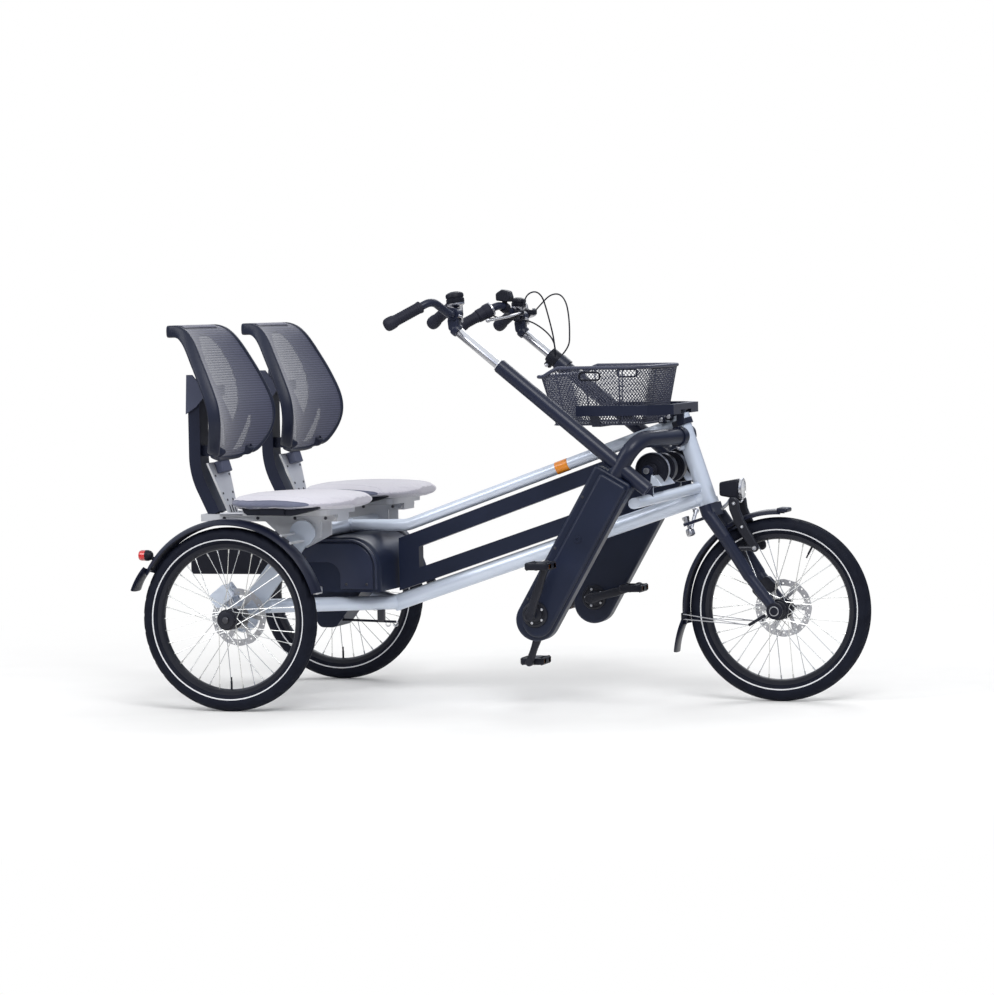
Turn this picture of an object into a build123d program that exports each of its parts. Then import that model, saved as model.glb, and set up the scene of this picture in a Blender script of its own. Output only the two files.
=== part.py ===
import os
from math import cos, radians, sin, tan

from build123d import *

# Side-by-side tandem tricycle for two riders.
# X is forward, Y is to the left and Z is up, in millimetres.
# The origin is on the ground under the middle of the overall length.
# "ahead" is always measured forward of the rear axle.

os.makedirs("parts", exist_ok=True)

# Driving dimensions of the whole vehicle
rear_axle_back = 700
wheelbase = 1445
half_track = 455
half_seat_spacing = 285
wheel_radius = 254
running_gap = 0.1
clear_gap = 0.3
overrun = 5

# Tyres, rims and spokes
tyre_width = 50
tread_edge_share = 0.28
tread_width_share = 0.72
rim_radius = 209
rim_depth = 16
rim_width = 30
spoke_count = 36
spoke_size = 2
spoke_cross = 55
hub_barrel_radius = 17
hub_flange_radius = 29
hub_flange_thick = 4
hub_flange_offset = 22
hub_end_radius = 24
hub_outer_end = 33
stub_axle_radius = 8.5
stub_axle_end_gap = 6
front_axle_radius = 6
rotor_radius = 80
rotor_band = 18
rotor_thick = 2
rotor_arm_width = 7
rotor_arm_count = 6
front_rotor_offset = 37
rear_rotor_offset = 68

# Head tube and fork
head_top_ahead = 1167
head_top_z = 791
head_bottom_ahead = 1249
head_bottom_z = 544
head_tube_radius = 24
head_cup_radius = 27
head_cup_length = 14
steerer_radius = 14.3
steerer_cap_radius = 20
steerer_cap_length = 9
fork_half_width = 60
crown_height = 36
crown_depth = 34
blade_top_radius = 15
blade_bow_ahead = 1306
blade_bow_z = 454
blade_knee_ahead = 1375
blade_knee_z = 345
blade_bend_radius = 90
dropout_thick = 8
dropout_radius = 17
steering_lever_length = 78
steering_lever_thick = 8
steering_lever_width = 24
ball_radius = 9
ball_stud_radius = 4
ball_stud_length = 20
tie_rod_radius = 5

# Main tubes
upper_tube_radius = 17
upper_front_ahead = 1178
upper_front_z = 775
upper_bend_ahead = 366
upper_bend_z = 486
upper_bend_radius = 90
lower_tube_radius = 23
lower_front_ahead = 1241
lower_front_z = 569
lower_joint_ahead = 332
lower_joint_z = 266
stay_radius = 20
stay_rear_ahead = 58
stay_rear_z = 282

# Seat beam and wheel carriers
seat_beam_radius = 21
seat_beam_ahead = 178
seat_beam_z = 484
carrier_thick = 10
carrier_side = 350
carrier_hub_radius = 44
carrier_top_radius = 36
carrier_width = 58
caliper_length = 62
caliper_height = 44
caliper_width = 34
caliper_slot = 6
rear_caliper_angle = 128
front_caliper_angle = 133
front_caliper_width = 30

# Support arms, handlebar sleeves and chain cases
case_foot_ahead = 835
case_foot_z = 245
case_radius = 58
case_lean = 29.8
case_length = 455
case_thick = 50
cover_thick = 15
cover_radius = 42
cover_shift = 9
case_boss_share = 0.56
case_boss_radius = 9
case_boss_height = 3
arm_radius = 23
arm_root_ahead = 1186
arm_root_z = 733
arm_shoulder_ahead = 1118
arm_bend_radius = 62
sleeve_radius = 20
sleeve_slope = 39.5
sleeve_low_ahead = 1150
sleeve_low_z = 598
sleeve_length = 535
sleeve_clamp_radius = 25
sleeve_clamp_length = 30
post_radius = 13.5
strut_radius = 15
strut_front_ahead = 1228
strut_front_z = 592
strut_rear_ahead = 1104
strut_rear_z = 560
layshaft_ahead = 1128
layshaft_z = 646
layshaft_radius = 8
layshaft_end_side = 222
layshaft_bracket_side = 205
layshaft_bracket_thick = 6
layshaft_bracket_width = 30

# Chain guard between the main tubes
guard_thick = 40
guard_upper_gap = 10
guard_lower_gap = 6
guard_bar_height = 43
guard_rear_ahead = 345
guard_front_low_ahead = 930
guard_front_high_ahead = 1030
guard_end_width = 60
guard_lug_shares = (0.12, 0.58)
guard_lug_length = 24

# Rear drive housing and battery box
housing_rear_ahead = 60
housing_front_ahead = 338
housing_bottom_z = 308
housing_top_z = seat_beam_z - seat_beam_radius - clear_gap
housing_side = 170
housing_corner = 85
housing_edge = 20
keel_inset = 20
keel_low_rear_ahead = 115
keel_low_front_ahead = 165
keel_front_ahead = 250
keel_depth = 110
keel_corner = 20
keel_half_width = 60
battery_rear_ahead = -270
battery_bottom_z = 350
battery_top_z = 430
battery_width = 150
battery_corner = 12

# Seats
rail_rear_ahead = -130
rail_front_ahead = 275
rail_bottom_z = 516
rail_height = 20
rail_width = 90
seat_plate_thick = 6
seat_plate_rear_ahead = 51
seat_plate_low_ahead = 151
seat_plate_low_z = 437
seat_plate_front_ahead = 226
seat_plate_front_z = 474
brace_foot_ahead = -50
brace_foot_width = 62
brace_top_ahead = -96
brace_top_z = 680
brace_top_width = 150
brace_thick = 6
pan_rear_ahead = 15
pan_front_ahead = 275
pan_width = 250
pan_thick = 16
cushion_rear_ahead = -25
cushion_front_ahead = 343
cushion_widest_ahead = 190
cushion_rear_width = 440
cushion_front_width = 300
cushion_nose_radius = 95
cushion_thick = 38
seat_bar_width = 64
seat_bar_depth = 34
seat_bar_foot_ahead = -95
seat_bar_knee_ahead = -150
seat_bar_knee_z = 650
seat_bar_top_ahead = -150
seat_bar_top_z = 905
seat_bar_bend_radius = 215
back_bottom_z = 686
back_low_z = 735
back_lumbar_z = 815
back_high_z = 940
back_top_z = 1066
back_bottom_ahead = -56
back_low_ahead = -18
back_lumbar_ahead = 2
back_high_ahead = -46
back_top_ahead = -120
back_bottom_width = 300
back_low_width = 410
back_widest = 455
back_high_width = 430
back_top_width = 330
back_bracket_low_z = 712
back_bracket_low_ahead = -80
back_bracket_high_z = 880
back_bracket_high_ahead = -74
back_bracket_size = 30
back_thick = 24
back_wrap = 42

# Handlebars
copilot_post_length = 700
pilot_post_length = 680
bar_lift = 38
bar_radius = 11
bar_middle_half = 45
bar_bend_back = 25
bar_bend_out = 115
bar_bend_rise = 38
bar_end_back = 131
bar_end_out = 195
bar_end_drop = 28
bar_bend_radius = 38
grip_radius = 16
grip_length = 112
grip_cap = 4
stem_radius = 17
stem_length = 34
stem_neck_radius = 14
post_head_radius = 18
post_head_length = 30
post_inset = 40
lever_collar_drop = 26
lever_collar_radius = 17

# Controls on the bars
ring_radius = 15.5
ring_length = 17
shifter_radius = 20
shifter_length = 42
lever_pivot_ahead = 27
lever_pivot_up = 4
lever_radius = 5
lever_tip_radius = 7
lever_tip_back = 50
lever_tip_out = 155
lever_tip_drop = 8
lever_knuckle_ahead = 8
lever_knuckle_out = 112
lever_knuckle_up = 4
lever_bend_radius = 60
lever_ring_share = 0.25
display_ring_share = 0.72
display_length = 40
display_width = 34
display_height = 28
display_lift = 34
bell_out = 27
bell_radius = 21
bell_height = 24
copilot_bell_radius = 25
copilot_bell_height = 30
cable_collar_radius = 22
cable_collar_length = 34
cable_radius = 2.2
cable_arc_share = 0.45

# Front carrier and basket
basket_floor_z = 769
basket_rim_front_z = 932
basket_rim_rear_z = 908
basket_rear_ahead = 850
basket_front_ahead = 1096
basket_half_width = 158
basket_flare = 42
basket_wall = 4
carrier_ring_z = 796
carrier_ring_height = 28
carrier_ring_bar = 20
carrier_ring_rear_ahead = 925
carrier_ring_front_ahead = 1186
ring_corner = 60
ring_height_share = 0.4
strap_width = 25
strap_thick = 4
clamp_radius = 30
clamp_height = 16
clamp_ear_drop = 30
basket_corner = 30
basket_rim_growth = 76
basket_rake = 8
basket_cut_level = 25
basket_cut_ramp = 45
basket_grid_columns = 10
basket_grid_rows = 5
basket_grid_low_z = 779
basket_grid_high_z = 889
basket_grid_inset = 18
basket_window_share = 0.72
finger_slot_ahead = 965
finger_slot_z = 905
finger_slot_length = 58
finger_slot_height = 21

# Cranks and pedals
crank_ahead = 838
crank_z = 262
crank_length = 150
crank_axle_radius = 9
crank_arm_thick = 16
crank_arm_width = 26
crank_tip_width = 22
crank_outer_side = 373
crank_inner_side = 223
right_crank_angle = 70
left_crank_angle = 194
pedal_length = 92
pedal_width = 62
pedal_thick = 22
pedal_gap = 3
pedal_pin_radius = 6
pedal_bore_radius = pedal_pin_radius + running_gap

# Mudguards and lamps
mudguard_radius = 273
mudguard_thick = 3
rear_mudguard_width = 66
front_mudguard_width = 58
rear_mudguard_start = 16
rear_mudguard_end = 152
front_mudguard_start = 88
front_mudguard_end = 197
flap_length = 62
rear_flap_angle = 222
front_flap_angle = 252
guard_strut_radius = 4
guard_strut_angle = 49
guard_strut_spread = 7
tail_lamp_angle = 143
tail_lamp_radius = 15
tail_lamp_length = 30
headlamp_radius = 24
headlamp_length = 46
headlamp_ahead = 1318
headlamp_z = 584
headlamp_taper = 12
brake_arm_side = 44
brake_arm_low_ahead = 1388
brake_arm_low_z = 425
brake_arm_high_ahead = 1330
brake_arm_high_z = 541
brake_arm_radius = 7
brake_boss_length = 45


def at(ahead, left, up):
    """A point given forward of the rear axle, to the left and above the ground."""
    return Vector(ahead - rear_axle_back, left, up)


def bar(start, end, radius, mode=Mode.ADD):
    """A straight round bar in the part being built."""
    run = Vector(end) - Vector(start)
    with BuildSketch(Plane(origin=start, z_dir=run)) as section:
        Circle(radius)
    extrude(section.sketch, amount=run.length, mode=mode)


def bent_bar(points, radius, bends, mode=Mode.ADD):
    """A round bar along straight runs joined by tangent arcs."""
    with BuildLine() as route:
        FilletPolyline(*points, radius=bends)
    first = Vector(points[1]) - Vector(points[0])
    with BuildSketch(Plane(origin=points[0], z_dir=first)) as section:
        Circle(radius)
    sweep(section.sketch, path=route.line, mode=mode)


def side_plane(left):
    """An upright plane along the vehicle: its X is forward and its Y is up."""
    return Plane(origin=(0, left, 0), x_dir=(1, 0, 0), z_dir=(0, -1, 0))


def save(piece, name):
    """Label a finished piece and write its STEP file."""
    piece.part.label = name
    export_step(piece.part, "parts/" + name + ".step")


sides = (("right", -1), ("left", 1))

# Space that the head tube fills, used to cope the tubes that meet it
head_bottom = at(head_bottom_ahead, 0, head_bottom_z)
head_top = at(head_top_ahead, 0, head_top_z)
head_run = head_top - head_bottom
head_length = head_run.length
head_direction = head_run.normalized()
head_plane = Plane(origin=head_bottom, x_dir=(0, 1, 0), z_dir=head_run)
with BuildPart() as head_space:
    with BuildSketch(head_plane):
        Circle(head_tube_radius)
    extrude(amount=head_length)
    with BuildSketch(head_plane, head_plane.offset(head_length - head_cup_length)):
        Circle(head_cup_radius)
    extrude(amount=head_cup_length)

# Head tube, with a bearing cup at each end
with BuildPart() as head_tube:
    add(head_space.part)
    with BuildSketch(head_plane.offset(-overrun)):
        Circle(steerer_radius + running_gap)
    extrude(amount=head_length + 2 * overrun, mode=Mode.SUBTRACT)
save(head_tube, "head_tube")

# Seat cross beam, from one wheel carrier to the other
beam_end_side = carrier_side - carrier_thick / 2
with BuildPart() as seat_beam:
    bar(
        at(seat_beam_ahead, -beam_end_side, seat_beam_z),
        at(seat_beam_ahead, beam_end_side, seat_beam_z),
        seat_beam_radius,
    )
save(seat_beam, "seat_beam")

# Upper tube, level behind its bend and rising to the head tube
with BuildPart() as upper_tube:
    bent_bar(
        [
            at(seat_beam_ahead, 0, upper_bend_z),
            at(upper_bend_ahead, 0, upper_bend_z),
            at(upper_front_ahead, 0, upper_front_z),
        ],
        upper_tube_radius,
        upper_bend_radius,
    )
    add(head_space.part, mode=Mode.SUBTRACT)
    add(seat_beam.part, mode=Mode.SUBTRACT)
save(upper_tube, "upper_tube")

# Lower tube, ending in a round knuckle where the rear stays part
lower_joint = at(lower_joint_ahead, 0, lower_joint_z)
lower_front = at(lower_front_ahead, 0, lower_front_z)
with BuildPart() as lower_tube:
    bar(lower_joint, lower_front, lower_tube_radius)
    with Locations(lower_joint):
        Sphere(lower_tube_radius)
    add(head_space.part, mode=Mode.SUBTRACT)
save(lower_tube, "lower_tube")

# Rear stays, one to each wheel carrier
for side_name, sign in sides:
    stay_end = at(stay_rear_ahead, sign * beam_end_side, stay_rear_z)
    stay_run = stay_end - lower_joint
    with BuildPart() as rear_stay:
        bar(lower_joint, stay_end + stay_run.normalized() * stay_radius * 2, stay_radius)
        add(lower_tube.part, mode=Mode.SUBTRACT)
        split(bisect_by=Plane(origin=stay_end, z_dir=(0, -sign, 0)), keep=Keep.TOP)
        split(bisect_by=Plane(origin=lower_joint, z_dir=(0, sign, 0)), keep=Keep.TOP)
    save(rear_stay, "rear_stay_" + side_name)

# Wheel carriers: plate, stub axle and brake caliper
for side_name, sign in sides:
    plate_plane = side_plane(sign * carrier_side)
    rotor_side = half_track - rear_rotor_offset
    hub_spot = (-rear_axle_back, wheel_radius)
    beam_spot = (seat_beam_ahead - rear_axle_back, seat_beam_z)
    strap_middle = ((hub_spot[0] + beam_spot[0]) / 2, (hub_spot[1] + beam_spot[1]) / 2)
    strap_run = Vector(seat_beam_ahead, seat_beam_z - wheel_radius)
    strap_angle = strap_run.get_angle(Vector(1, 0))
    caliper_reach = rotor_radius + caliper_slot - caliper_height / 4
    caliper_spot = (
        hub_spot[0] + caliper_reach * cos(radians(rear_caliper_angle)),
        hub_spot[1] + caliper_reach * sin(radians(rear_caliper_angle)),
    )
    with BuildPart() as wheel_carrier:
        with BuildSketch(plate_plane):
            with Locations(hub_spot):
                Circle(carrier_hub_radius)
            lug_middle = (
                (hub_spot[0] + caliper_spot[0]) / 2,
                (hub_spot[1] + caliper_spot[1]) / 2,
            )
            with Locations(Location(lug_middle, rear_caliper_angle)):
                Rectangle(caliper_reach, caliper_height)
            with Locations(Location(strap_middle, strap_angle)):
                Rectangle(strap_run.length, carrier_width)
            with Locations(beam_spot):
                Circle(carrier_top_radius)
        extrude(amount=carrier_thick / 2, both=True)
        stub_start = Vector(hub_spot[0], sign * carrier_side, hub_spot[1])
        stub_end_side = half_track + hub_outer_end - stub_axle_end_gap
        stub_end = Vector(hub_spot[0], sign * stub_end_side, hub_spot[1])
        bar(stub_start, stub_end, stub_axle_radius)
        with BuildSketch(side_plane(sign * rotor_side)):
            with Locations(Location(caliper_spot, rear_caliper_angle - 90)):
                RectangleRounded(caliper_length, caliper_height, caliper_height / 4)
        extrude(amount=caliper_width / 2, both=True)
        arm_side = (carrier_side + rotor_side) / 2
        with BuildSketch(side_plane(sign * arm_side)):
            with Locations(Location(caliper_spot, rear_caliper_angle - 90)):
                Rectangle(caliper_height, caliper_height * 2 / 3)
        extrude(amount=(rotor_side - carrier_side) / 2, both=True)
        with BuildSketch(side_plane(sign * carrier_side)):
            with Locations(Location(caliper_spot, rear_caliper_angle - 90)):
                Rectangle(caliper_length, caliper_height)
        extrude(amount=carrier_thick / 2, both=True)
        with BuildSketch(side_plane(sign * rotor_side)):
            with Locations(hub_spot):
                Circle(rotor_radius + caliper_slot)
        extrude(amount=caliper_slot / 2, both=True, mode=Mode.SUBTRACT)
        bar(stub_start, stub_end, stub_axle_radius)
    save(wheel_carrier, "wheel_carrier_" + side_name)

# Support arms: the black tube from the head tube to the chain case, with the
# sleeve that holds the handlebar post
slope = radians(sleeve_slope)
post_direction = Vector(-cos(slope), 0, sin(slope))
lean = radians(case_lean)
case_direction = Vector(sin(lean), 0, cos(lean))
case_across = Vector(cos(lean), 0, -sin(lean))
support_arms = []
for side_name, sign in sides:
    arm_side = sign * half_seat_spacing
    case_foot = at(case_foot_ahead, arm_side, case_foot_z)
    sleeve_low = at(sleeve_low_ahead, arm_side, sleeve_low_z)
    sleeve_high = sleeve_low + post_direction * sleeve_length
    case_plane = Plane(origin=case_foot, x_dir=case_across, z_dir=(0, -1, 0))
    with BuildPart() as support_arm:
        bent_bar(
            [
                at(arm_root_ahead, 0, arm_root_z),
                at(arm_shoulder_ahead, arm_side, arm_root_z),
                case_foot + case_direction * (case_length - arm_radius),
            ],
            arm_radius,
            arm_bend_radius,
        )
        add(head_space.part, mode=Mode.SUBTRACT)
        split(bisect_by=Plane(origin=(0, sign * clear_gap, 0), z_dir=(0, sign, 0)), keep=Keep.TOP)
        bar(sleeve_low, sleeve_high, sleeve_radius)
        bar(sleeve_high - post_direction * sleeve_clamp_length, sleeve_high, sleeve_clamp_radius)
        add(upper_tube.part, mode=Mode.SUBTRACT)
        bar(
            sleeve_low - post_direction * overrun,
            sleeve_high + post_direction * overrun,
            post_radius + running_gap,
            mode=Mode.SUBTRACT,
        )
    save(support_arm, "support_arm_" + side_name)
    support_arms.append(support_arm)

    with BuildPart() as chain_case:
        with BuildSketch(case_plane):
            Circle(case_radius)
            with Locations((0, case_length / 2)):
                Rectangle(case_radius * 2, case_length)
        extrude(amount=case_thick / 2, both=True)
        with BuildSketch(case_plane.offset(-sign * case_thick / 2)):
            with Locations((cover_shift, 0)):
                Circle(cover_radius)
            with Locations((cover_shift, (case_length - cover_radius) / 2)):
                Rectangle(cover_radius * 2, case_length - cover_radius)
        extrude(amount=-sign * cover_thick)
        # Screw boss on the cover
        with BuildSketch(case_plane.offset(-sign * (case_thick / 2 + cover_thick))):
            with Locations((0, case_length * case_boss_share)):
                Circle(case_boss_radius)
        extrude(amount=-sign * case_boss_height)
        bar(
            at(crank_ahead, arm_side - case_thick, crank_z),
            at(crank_ahead, arm_side + case_thick, crank_z),
            crank_axle_radius + running_gap,
            mode=Mode.SUBTRACT,
        )
        add(support_arm.part, mode=Mode.SUBTRACT)
        bar(sleeve_low, sleeve_high, sleeve_radius, mode=Mode.SUBTRACT)
    save(chain_case, "chain_case_" + side_name)

    # Side strut, with the bracket that carries the layshaft
    case_inner_side = half_seat_spacing - case_thick / 2
    strut_front = at(strut_front_ahead, 0, strut_front_z)
    strut_rear = at(strut_rear_ahead, sign * case_inner_side, strut_rear_z)
    strut_run = strut_rear - strut_front
    bracket_share = layshaft_bracket_side / case_inner_side
    bracket_foot = strut_front + strut_run * bracket_share
    with BuildPart() as side_strut:
        bar(strut_front, strut_rear + strut_run.normalized() * strut_radius * 2, strut_radius)
        split(
            bisect_by=Plane(origin=(0, sign * case_inner_side, 0), z_dir=(0, -sign, 0)),
            keep=Keep.TOP,
        )
        bracket_plane = side_plane(sign * layshaft_bracket_side)
        shaft_spot = (layshaft_ahead - rear_axle_back, layshaft_z)
        with BuildSketch(bracket_plane):
            with Locations(shaft_spot):
                Circle(layshaft_bracket_width / 2)
            with BuildLine():
                Polyline(
                    (shaft_spot[0] - layshaft_bracket_width / 2, shaft_spot[1]),
                    (shaft_spot[0] + layshaft_bracket_width / 2, shaft_spot[1]),
                    (bracket_foot.X + strut_radius, bracket_foot.Z),
                    (bracket_foot.X - strut_radius, bracket_foot.Z),
                    close=True,
                )
            make_face()
            with Locations(shaft_spot):
                Circle(layshaft_radius + running_gap, mode=Mode.SUBTRACT)
        extrude(amount=layshaft_bracket_thick / 2, both=True)
        add(head_space.part, mode=Mode.SUBTRACT)
        add(lower_tube.part, mode=Mode.SUBTRACT)
        split(bisect_by=Plane(origin=(0, 0, 0), z_dir=(0, sign, 0)), keep=Keep.TOP)
    save(side_strut, "side_strut_" + side_name)

# Layshaft with its pulleys: place across the vehicle, radius and width of each
pulleys = (
    # side, radius, width
    (-150, 48, 16),
    (-52, 42, 30),
    (52, 42, 30),
    (150, 48, 16),
)
shaft_middle = at(layshaft_ahead, 0, layshaft_z)
with BuildPart() as layshaft:
    bar(
        shaft_middle - Vector(0, layshaft_end_side, 0),
        shaft_middle + Vector(0, layshaft_end_side, 0),
        layshaft_radius,
    )
    for pulley_side, pulley_radius, pulley_width in pulleys:
        pulley_middle = shaft_middle + Vector(0, pulley_side, 0)
        half = Vector(0, pulley_width / 2, 0)
        bar(pulley_middle - half, pulley_middle + half, pulley_radius)
save(layshaft, "layshaft")

# Chain guard: a flat loop between the two main tubes
upper_slope = (upper_front_z - upper_bend_z) / (upper_front_ahead - upper_bend_ahead)
lower_slope = (lower_front_z - lower_joint_z) / (lower_front_ahead - lower_joint_ahead)
upper_drop = (upper_tube_radius + guard_upper_gap) * (1 + upper_slope**2) ** 0.5
lower_lift = (lower_tube_radius + guard_lower_gap) * (1 + lower_slope**2) ** 0.5
bar_rise_upper = guard_bar_height * (1 + upper_slope**2) ** 0.5
bar_rise_lower = guard_bar_height * (1 + lower_slope**2) ** 0.5


def guard_top(ahead, below=0):
    """Place on the guard's upper edge, or a height below it."""
    z = upper_bend_z + (ahead - upper_bend_ahead) * upper_slope - upper_drop - below
    return (ahead - rear_axle_back, z)


def guard_bottom(ahead, above=0):
    """Place on the guard's lower edge, or a height above it."""
    z = lower_joint_z + (ahead - lower_joint_ahead) * lower_slope + lower_lift + above
    return (ahead - rear_axle_back, z)


with BuildPart() as chain_guard:
    with BuildSketch(side_plane(0)):
        with BuildLine():
            Polyline(
                guard_bottom(guard_rear_ahead),
                guard_bottom(guard_front_low_ahead),
                guard_top(guard_front_high_ahead),
                guard_top(guard_rear_ahead),
                close=True,
            )
        make_face()
        with BuildLine():
            Polyline(
                guard_bottom(guard_rear_ahead + guard_end_width, bar_rise_lower),
                guard_bottom(guard_front_low_ahead - guard_end_width, bar_rise_lower),
                guard_top(guard_front_high_ahead - guard_end_width * 2, bar_rise_upper),
                guard_top(guard_rear_ahead + guard_end_width, bar_rise_upper),
                close=True,
            )
        make_face(mode=Mode.SUBTRACT)
    extrude(amount=guard_thick / 2, both=True)
    # Two lugs that rest on the lower tube
    lower_run = (lower_front - lower_joint).normalized()
    lower_up = Vector(-lower_run.Z, 0, lower_run.X)
    for share in guard_lug_shares:
        lug_top = lower_joint + (lower_front - lower_joint) * share + lower_up * (
            lower_tube_radius + guard_lower_gap + guard_bar_height / 4
        )
        with BuildSketch(Plane(origin=lug_top, x_dir=lower_run, z_dir=-lower_up)):
            Rectangle(guard_lug_length, guard_thick / 3)
        extrude(amount=guard_lower_gap + guard_bar_height / 4 - clear_gap)
save(chain_guard, "chain_guard")

# Rear drive housing, with a rounded top
housing_length = housing_front_ahead - housing_rear_ahead
housing_height = housing_top_z - housing_bottom_z
with BuildPart() as drive_housing:
    with BuildSketch(side_plane(0)):
        with Locations(
            (
                (housing_front_ahead + housing_rear_ahead) / 2 - rear_axle_back,
                (housing_top_z + housing_bottom_z) / 2,
            )
        ):
            Rectangle(housing_length, housing_height)
    extrude(amount=housing_side, both=True)
    fillet(drive_housing.edges().filter_by(Axis.Y).group_by(Axis.Z)[-1], housing_corner)
    fillet(drive_housing.faces().filter_by(Axis.Y).edges().group_by(Axis.Z)[1:], housing_edge)
    # Keel of the drive under the housing
    with BuildSketch(side_plane(0)):
        with BuildLine():
            Polyline(
                (housing_rear_ahead + keel_inset - rear_axle_back, housing_bottom_z),
                (keel_low_rear_ahead - rear_axle_back, housing_bottom_z - keel_depth),
                (keel_low_front_ahead - rear_axle_back, housing_bottom_z - keel_depth),
                (keel_front_ahead - rear_axle_back, housing_bottom_z),
                close=True,
            )
        make_face()
        fillet(vertices().group_by(Axis.Y)[0], keel_corner)
    extrude(amount=keel_half_width, both=True)
save(drive_housing, "drive_housing")

# Battery box behind the housing
with BuildPart() as battery_box:
    with BuildSketch(side_plane(0)):
        with Locations(
            (
                (battery_rear_ahead + housing_rear_ahead) / 2 - rear_axle_back,
                (battery_top_z + battery_bottom_z) / 2,
            )
        ):
            Rectangle(housing_rear_ahead - battery_rear_ahead, battery_top_z - battery_bottom_z)
    extrude(amount=battery_width / 2, both=True)
    fillet(battery_box.faces().sort_by(Axis.X)[0].edges(), battery_corner)
save(battery_box, "battery_box")

# Seats
rail_top_z = rail_bottom_z + rail_height
pan_top_z = rail_top_z + pan_thick
cushion_bottom_z = pan_top_z + clear_gap
for side_name, sign in sides:
    seat_side = sign * half_seat_spacing
    rail_length = rail_front_ahead - rail_rear_ahead
    rail_middle = (rail_front_ahead + rail_rear_ahead) / 2
    pan_length = pan_front_ahead - pan_rear_ahead
    pan_middle = (pan_front_ahead + pan_rear_ahead) / 2
    with BuildPart() as seat_base:
        # Channel rail on the seat beam
        with BuildSketch(Plane(origin=at(rail_middle, seat_side, rail_bottom_z))):
            Rectangle(rail_length, rail_width)
        extrude(amount=rail_height)
        # Two plates down to the beam, and a block between them
        for plate_way in (-1, 1):
            plate_side = seat_side + plate_way * (rail_width - seat_plate_thick) / 2
            with BuildSketch(side_plane(plate_side)):
                with BuildLine():
                    Polyline(
                        (seat_plate_rear_ahead - rear_axle_back, rail_bottom_z + rail_height / 2),
                        (seat_plate_low_ahead - rear_axle_back, seat_plate_low_z),
                        (seat_plate_front_ahead - rear_axle_back, seat_plate_front_z),
                        (seat_plate_front_ahead - rear_axle_back, rail_bottom_z + rail_height / 2),
                        close=True,
                    )
                make_face()
            extrude(amount=seat_plate_thick / 2, both=True)
        with BuildSketch(Plane(origin=at(seat_beam_ahead, seat_side, seat_beam_z))):
            Rectangle(seat_beam_radius * 2, rail_width)
        extrude(amount=rail_bottom_z - seat_beam_z)
        # Moulded pan under the cushion
        with BuildSketch(Plane(origin=at(pan_middle, seat_side, rail_top_z))):
            RectangleRounded(pan_length, pan_width, pan_thick * 2)
        extrude(amount=pan_thick)
        # Leaning plate that carries the backrest's foot, wider at its top
        brace_run = at(brace_top_ahead, seat_side, brace_top_z) - at(brace_foot_ahead, seat_side, rail_top_z)
        brace_plane = Plane(
            origin=at(brace_foot_ahead, seat_side, rail_top_z),
            x_dir=(0, 1, 0),
            z_dir=Vector(0, 1, 0).cross(brace_run),
        )
        with BuildSketch(brace_plane):
            with BuildLine():
                Polyline(
                    (-brace_foot_width / 2, -rail_height / 4),
                    (brace_foot_width / 2, -rail_height / 4),
                    (brace_top_width / 2, brace_run.length),
                    (-brace_top_width / 2, brace_run.length),
                    close=True,
                )
            make_face()
        extrude(amount=brace_thick / 2, both=True)
        add(seat_beam.part, mode=Mode.SUBTRACT)
    save(seat_base, "seat_base_" + side_name)

    with BuildPart() as seat_cushion:
        with BuildSketch(Plane(origin=at(0, seat_side, cushion_bottom_z))):
            with BuildLine():
                Polyline(
                    (cushion_rear_ahead, -cushion_rear_width / 2),
                    (cushion_widest_ahead, -cushion_rear_width / 2),
                    (cushion_front_ahead, -cushion_front_width / 2),
                    (cushion_front_ahead, cushion_front_width / 2),
                    (cushion_widest_ahead, cushion_rear_width / 2),
                    (cushion_rear_ahead, cushion_rear_width / 2),
                    close=True,
                )
            make_face()
            fillet(vertices().group_by(Axis.X)[-1], cushion_nose_radius)
            fillet(vertices().group_by(Axis.X)[0], cushion_thick)
        extrude(amount=cushion_thick)
        fillet(seat_cushion.faces().sort_by(Axis.Z)[-1].edges(), cushion_thick / 4)
    save(seat_cushion, "seat_cushion_" + side_name)

    with BuildPart() as backrest_bar:
        foot = at(seat_bar_foot_ahead, seat_side, rail_top_z)
        knee = at(seat_bar_knee_ahead, seat_side, seat_bar_knee_z)
        head = at(seat_bar_top_ahead, seat_side, seat_bar_top_z)
        with BuildLine() as spine:
            FilletPolyline(foot, knee, head, radius=seat_bar_bend_radius)
        with BuildSketch(Plane(origin=foot, z_dir=knee - foot)) as section:
            Rectangle(seat_bar_depth, seat_bar_width)
        sweep(section.sketch, path=spine.line)
        # Brackets forward to the shell: height, and how far forward they reach
        for bracket_z, bracket_ahead in (
            (back_bracket_low_z, back_bracket_low_ahead),
            (back_bracket_high_z, back_bracket_high_ahead),
        ):
            bracket_start = at(seat_bar_knee_ahead, seat_side, bracket_z)
            with BuildSketch(Plane(origin=bracket_start, z_dir=(1, 0, 0))):
                Rectangle(back_bracket_size, back_bracket_size)
            extrude(amount=bracket_ahead - seat_bar_knee_ahead)
        add(seat_base.part, mode=Mode.SUBTRACT)
    save(backrest_bar, "backrest_bar_" + side_name)

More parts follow.
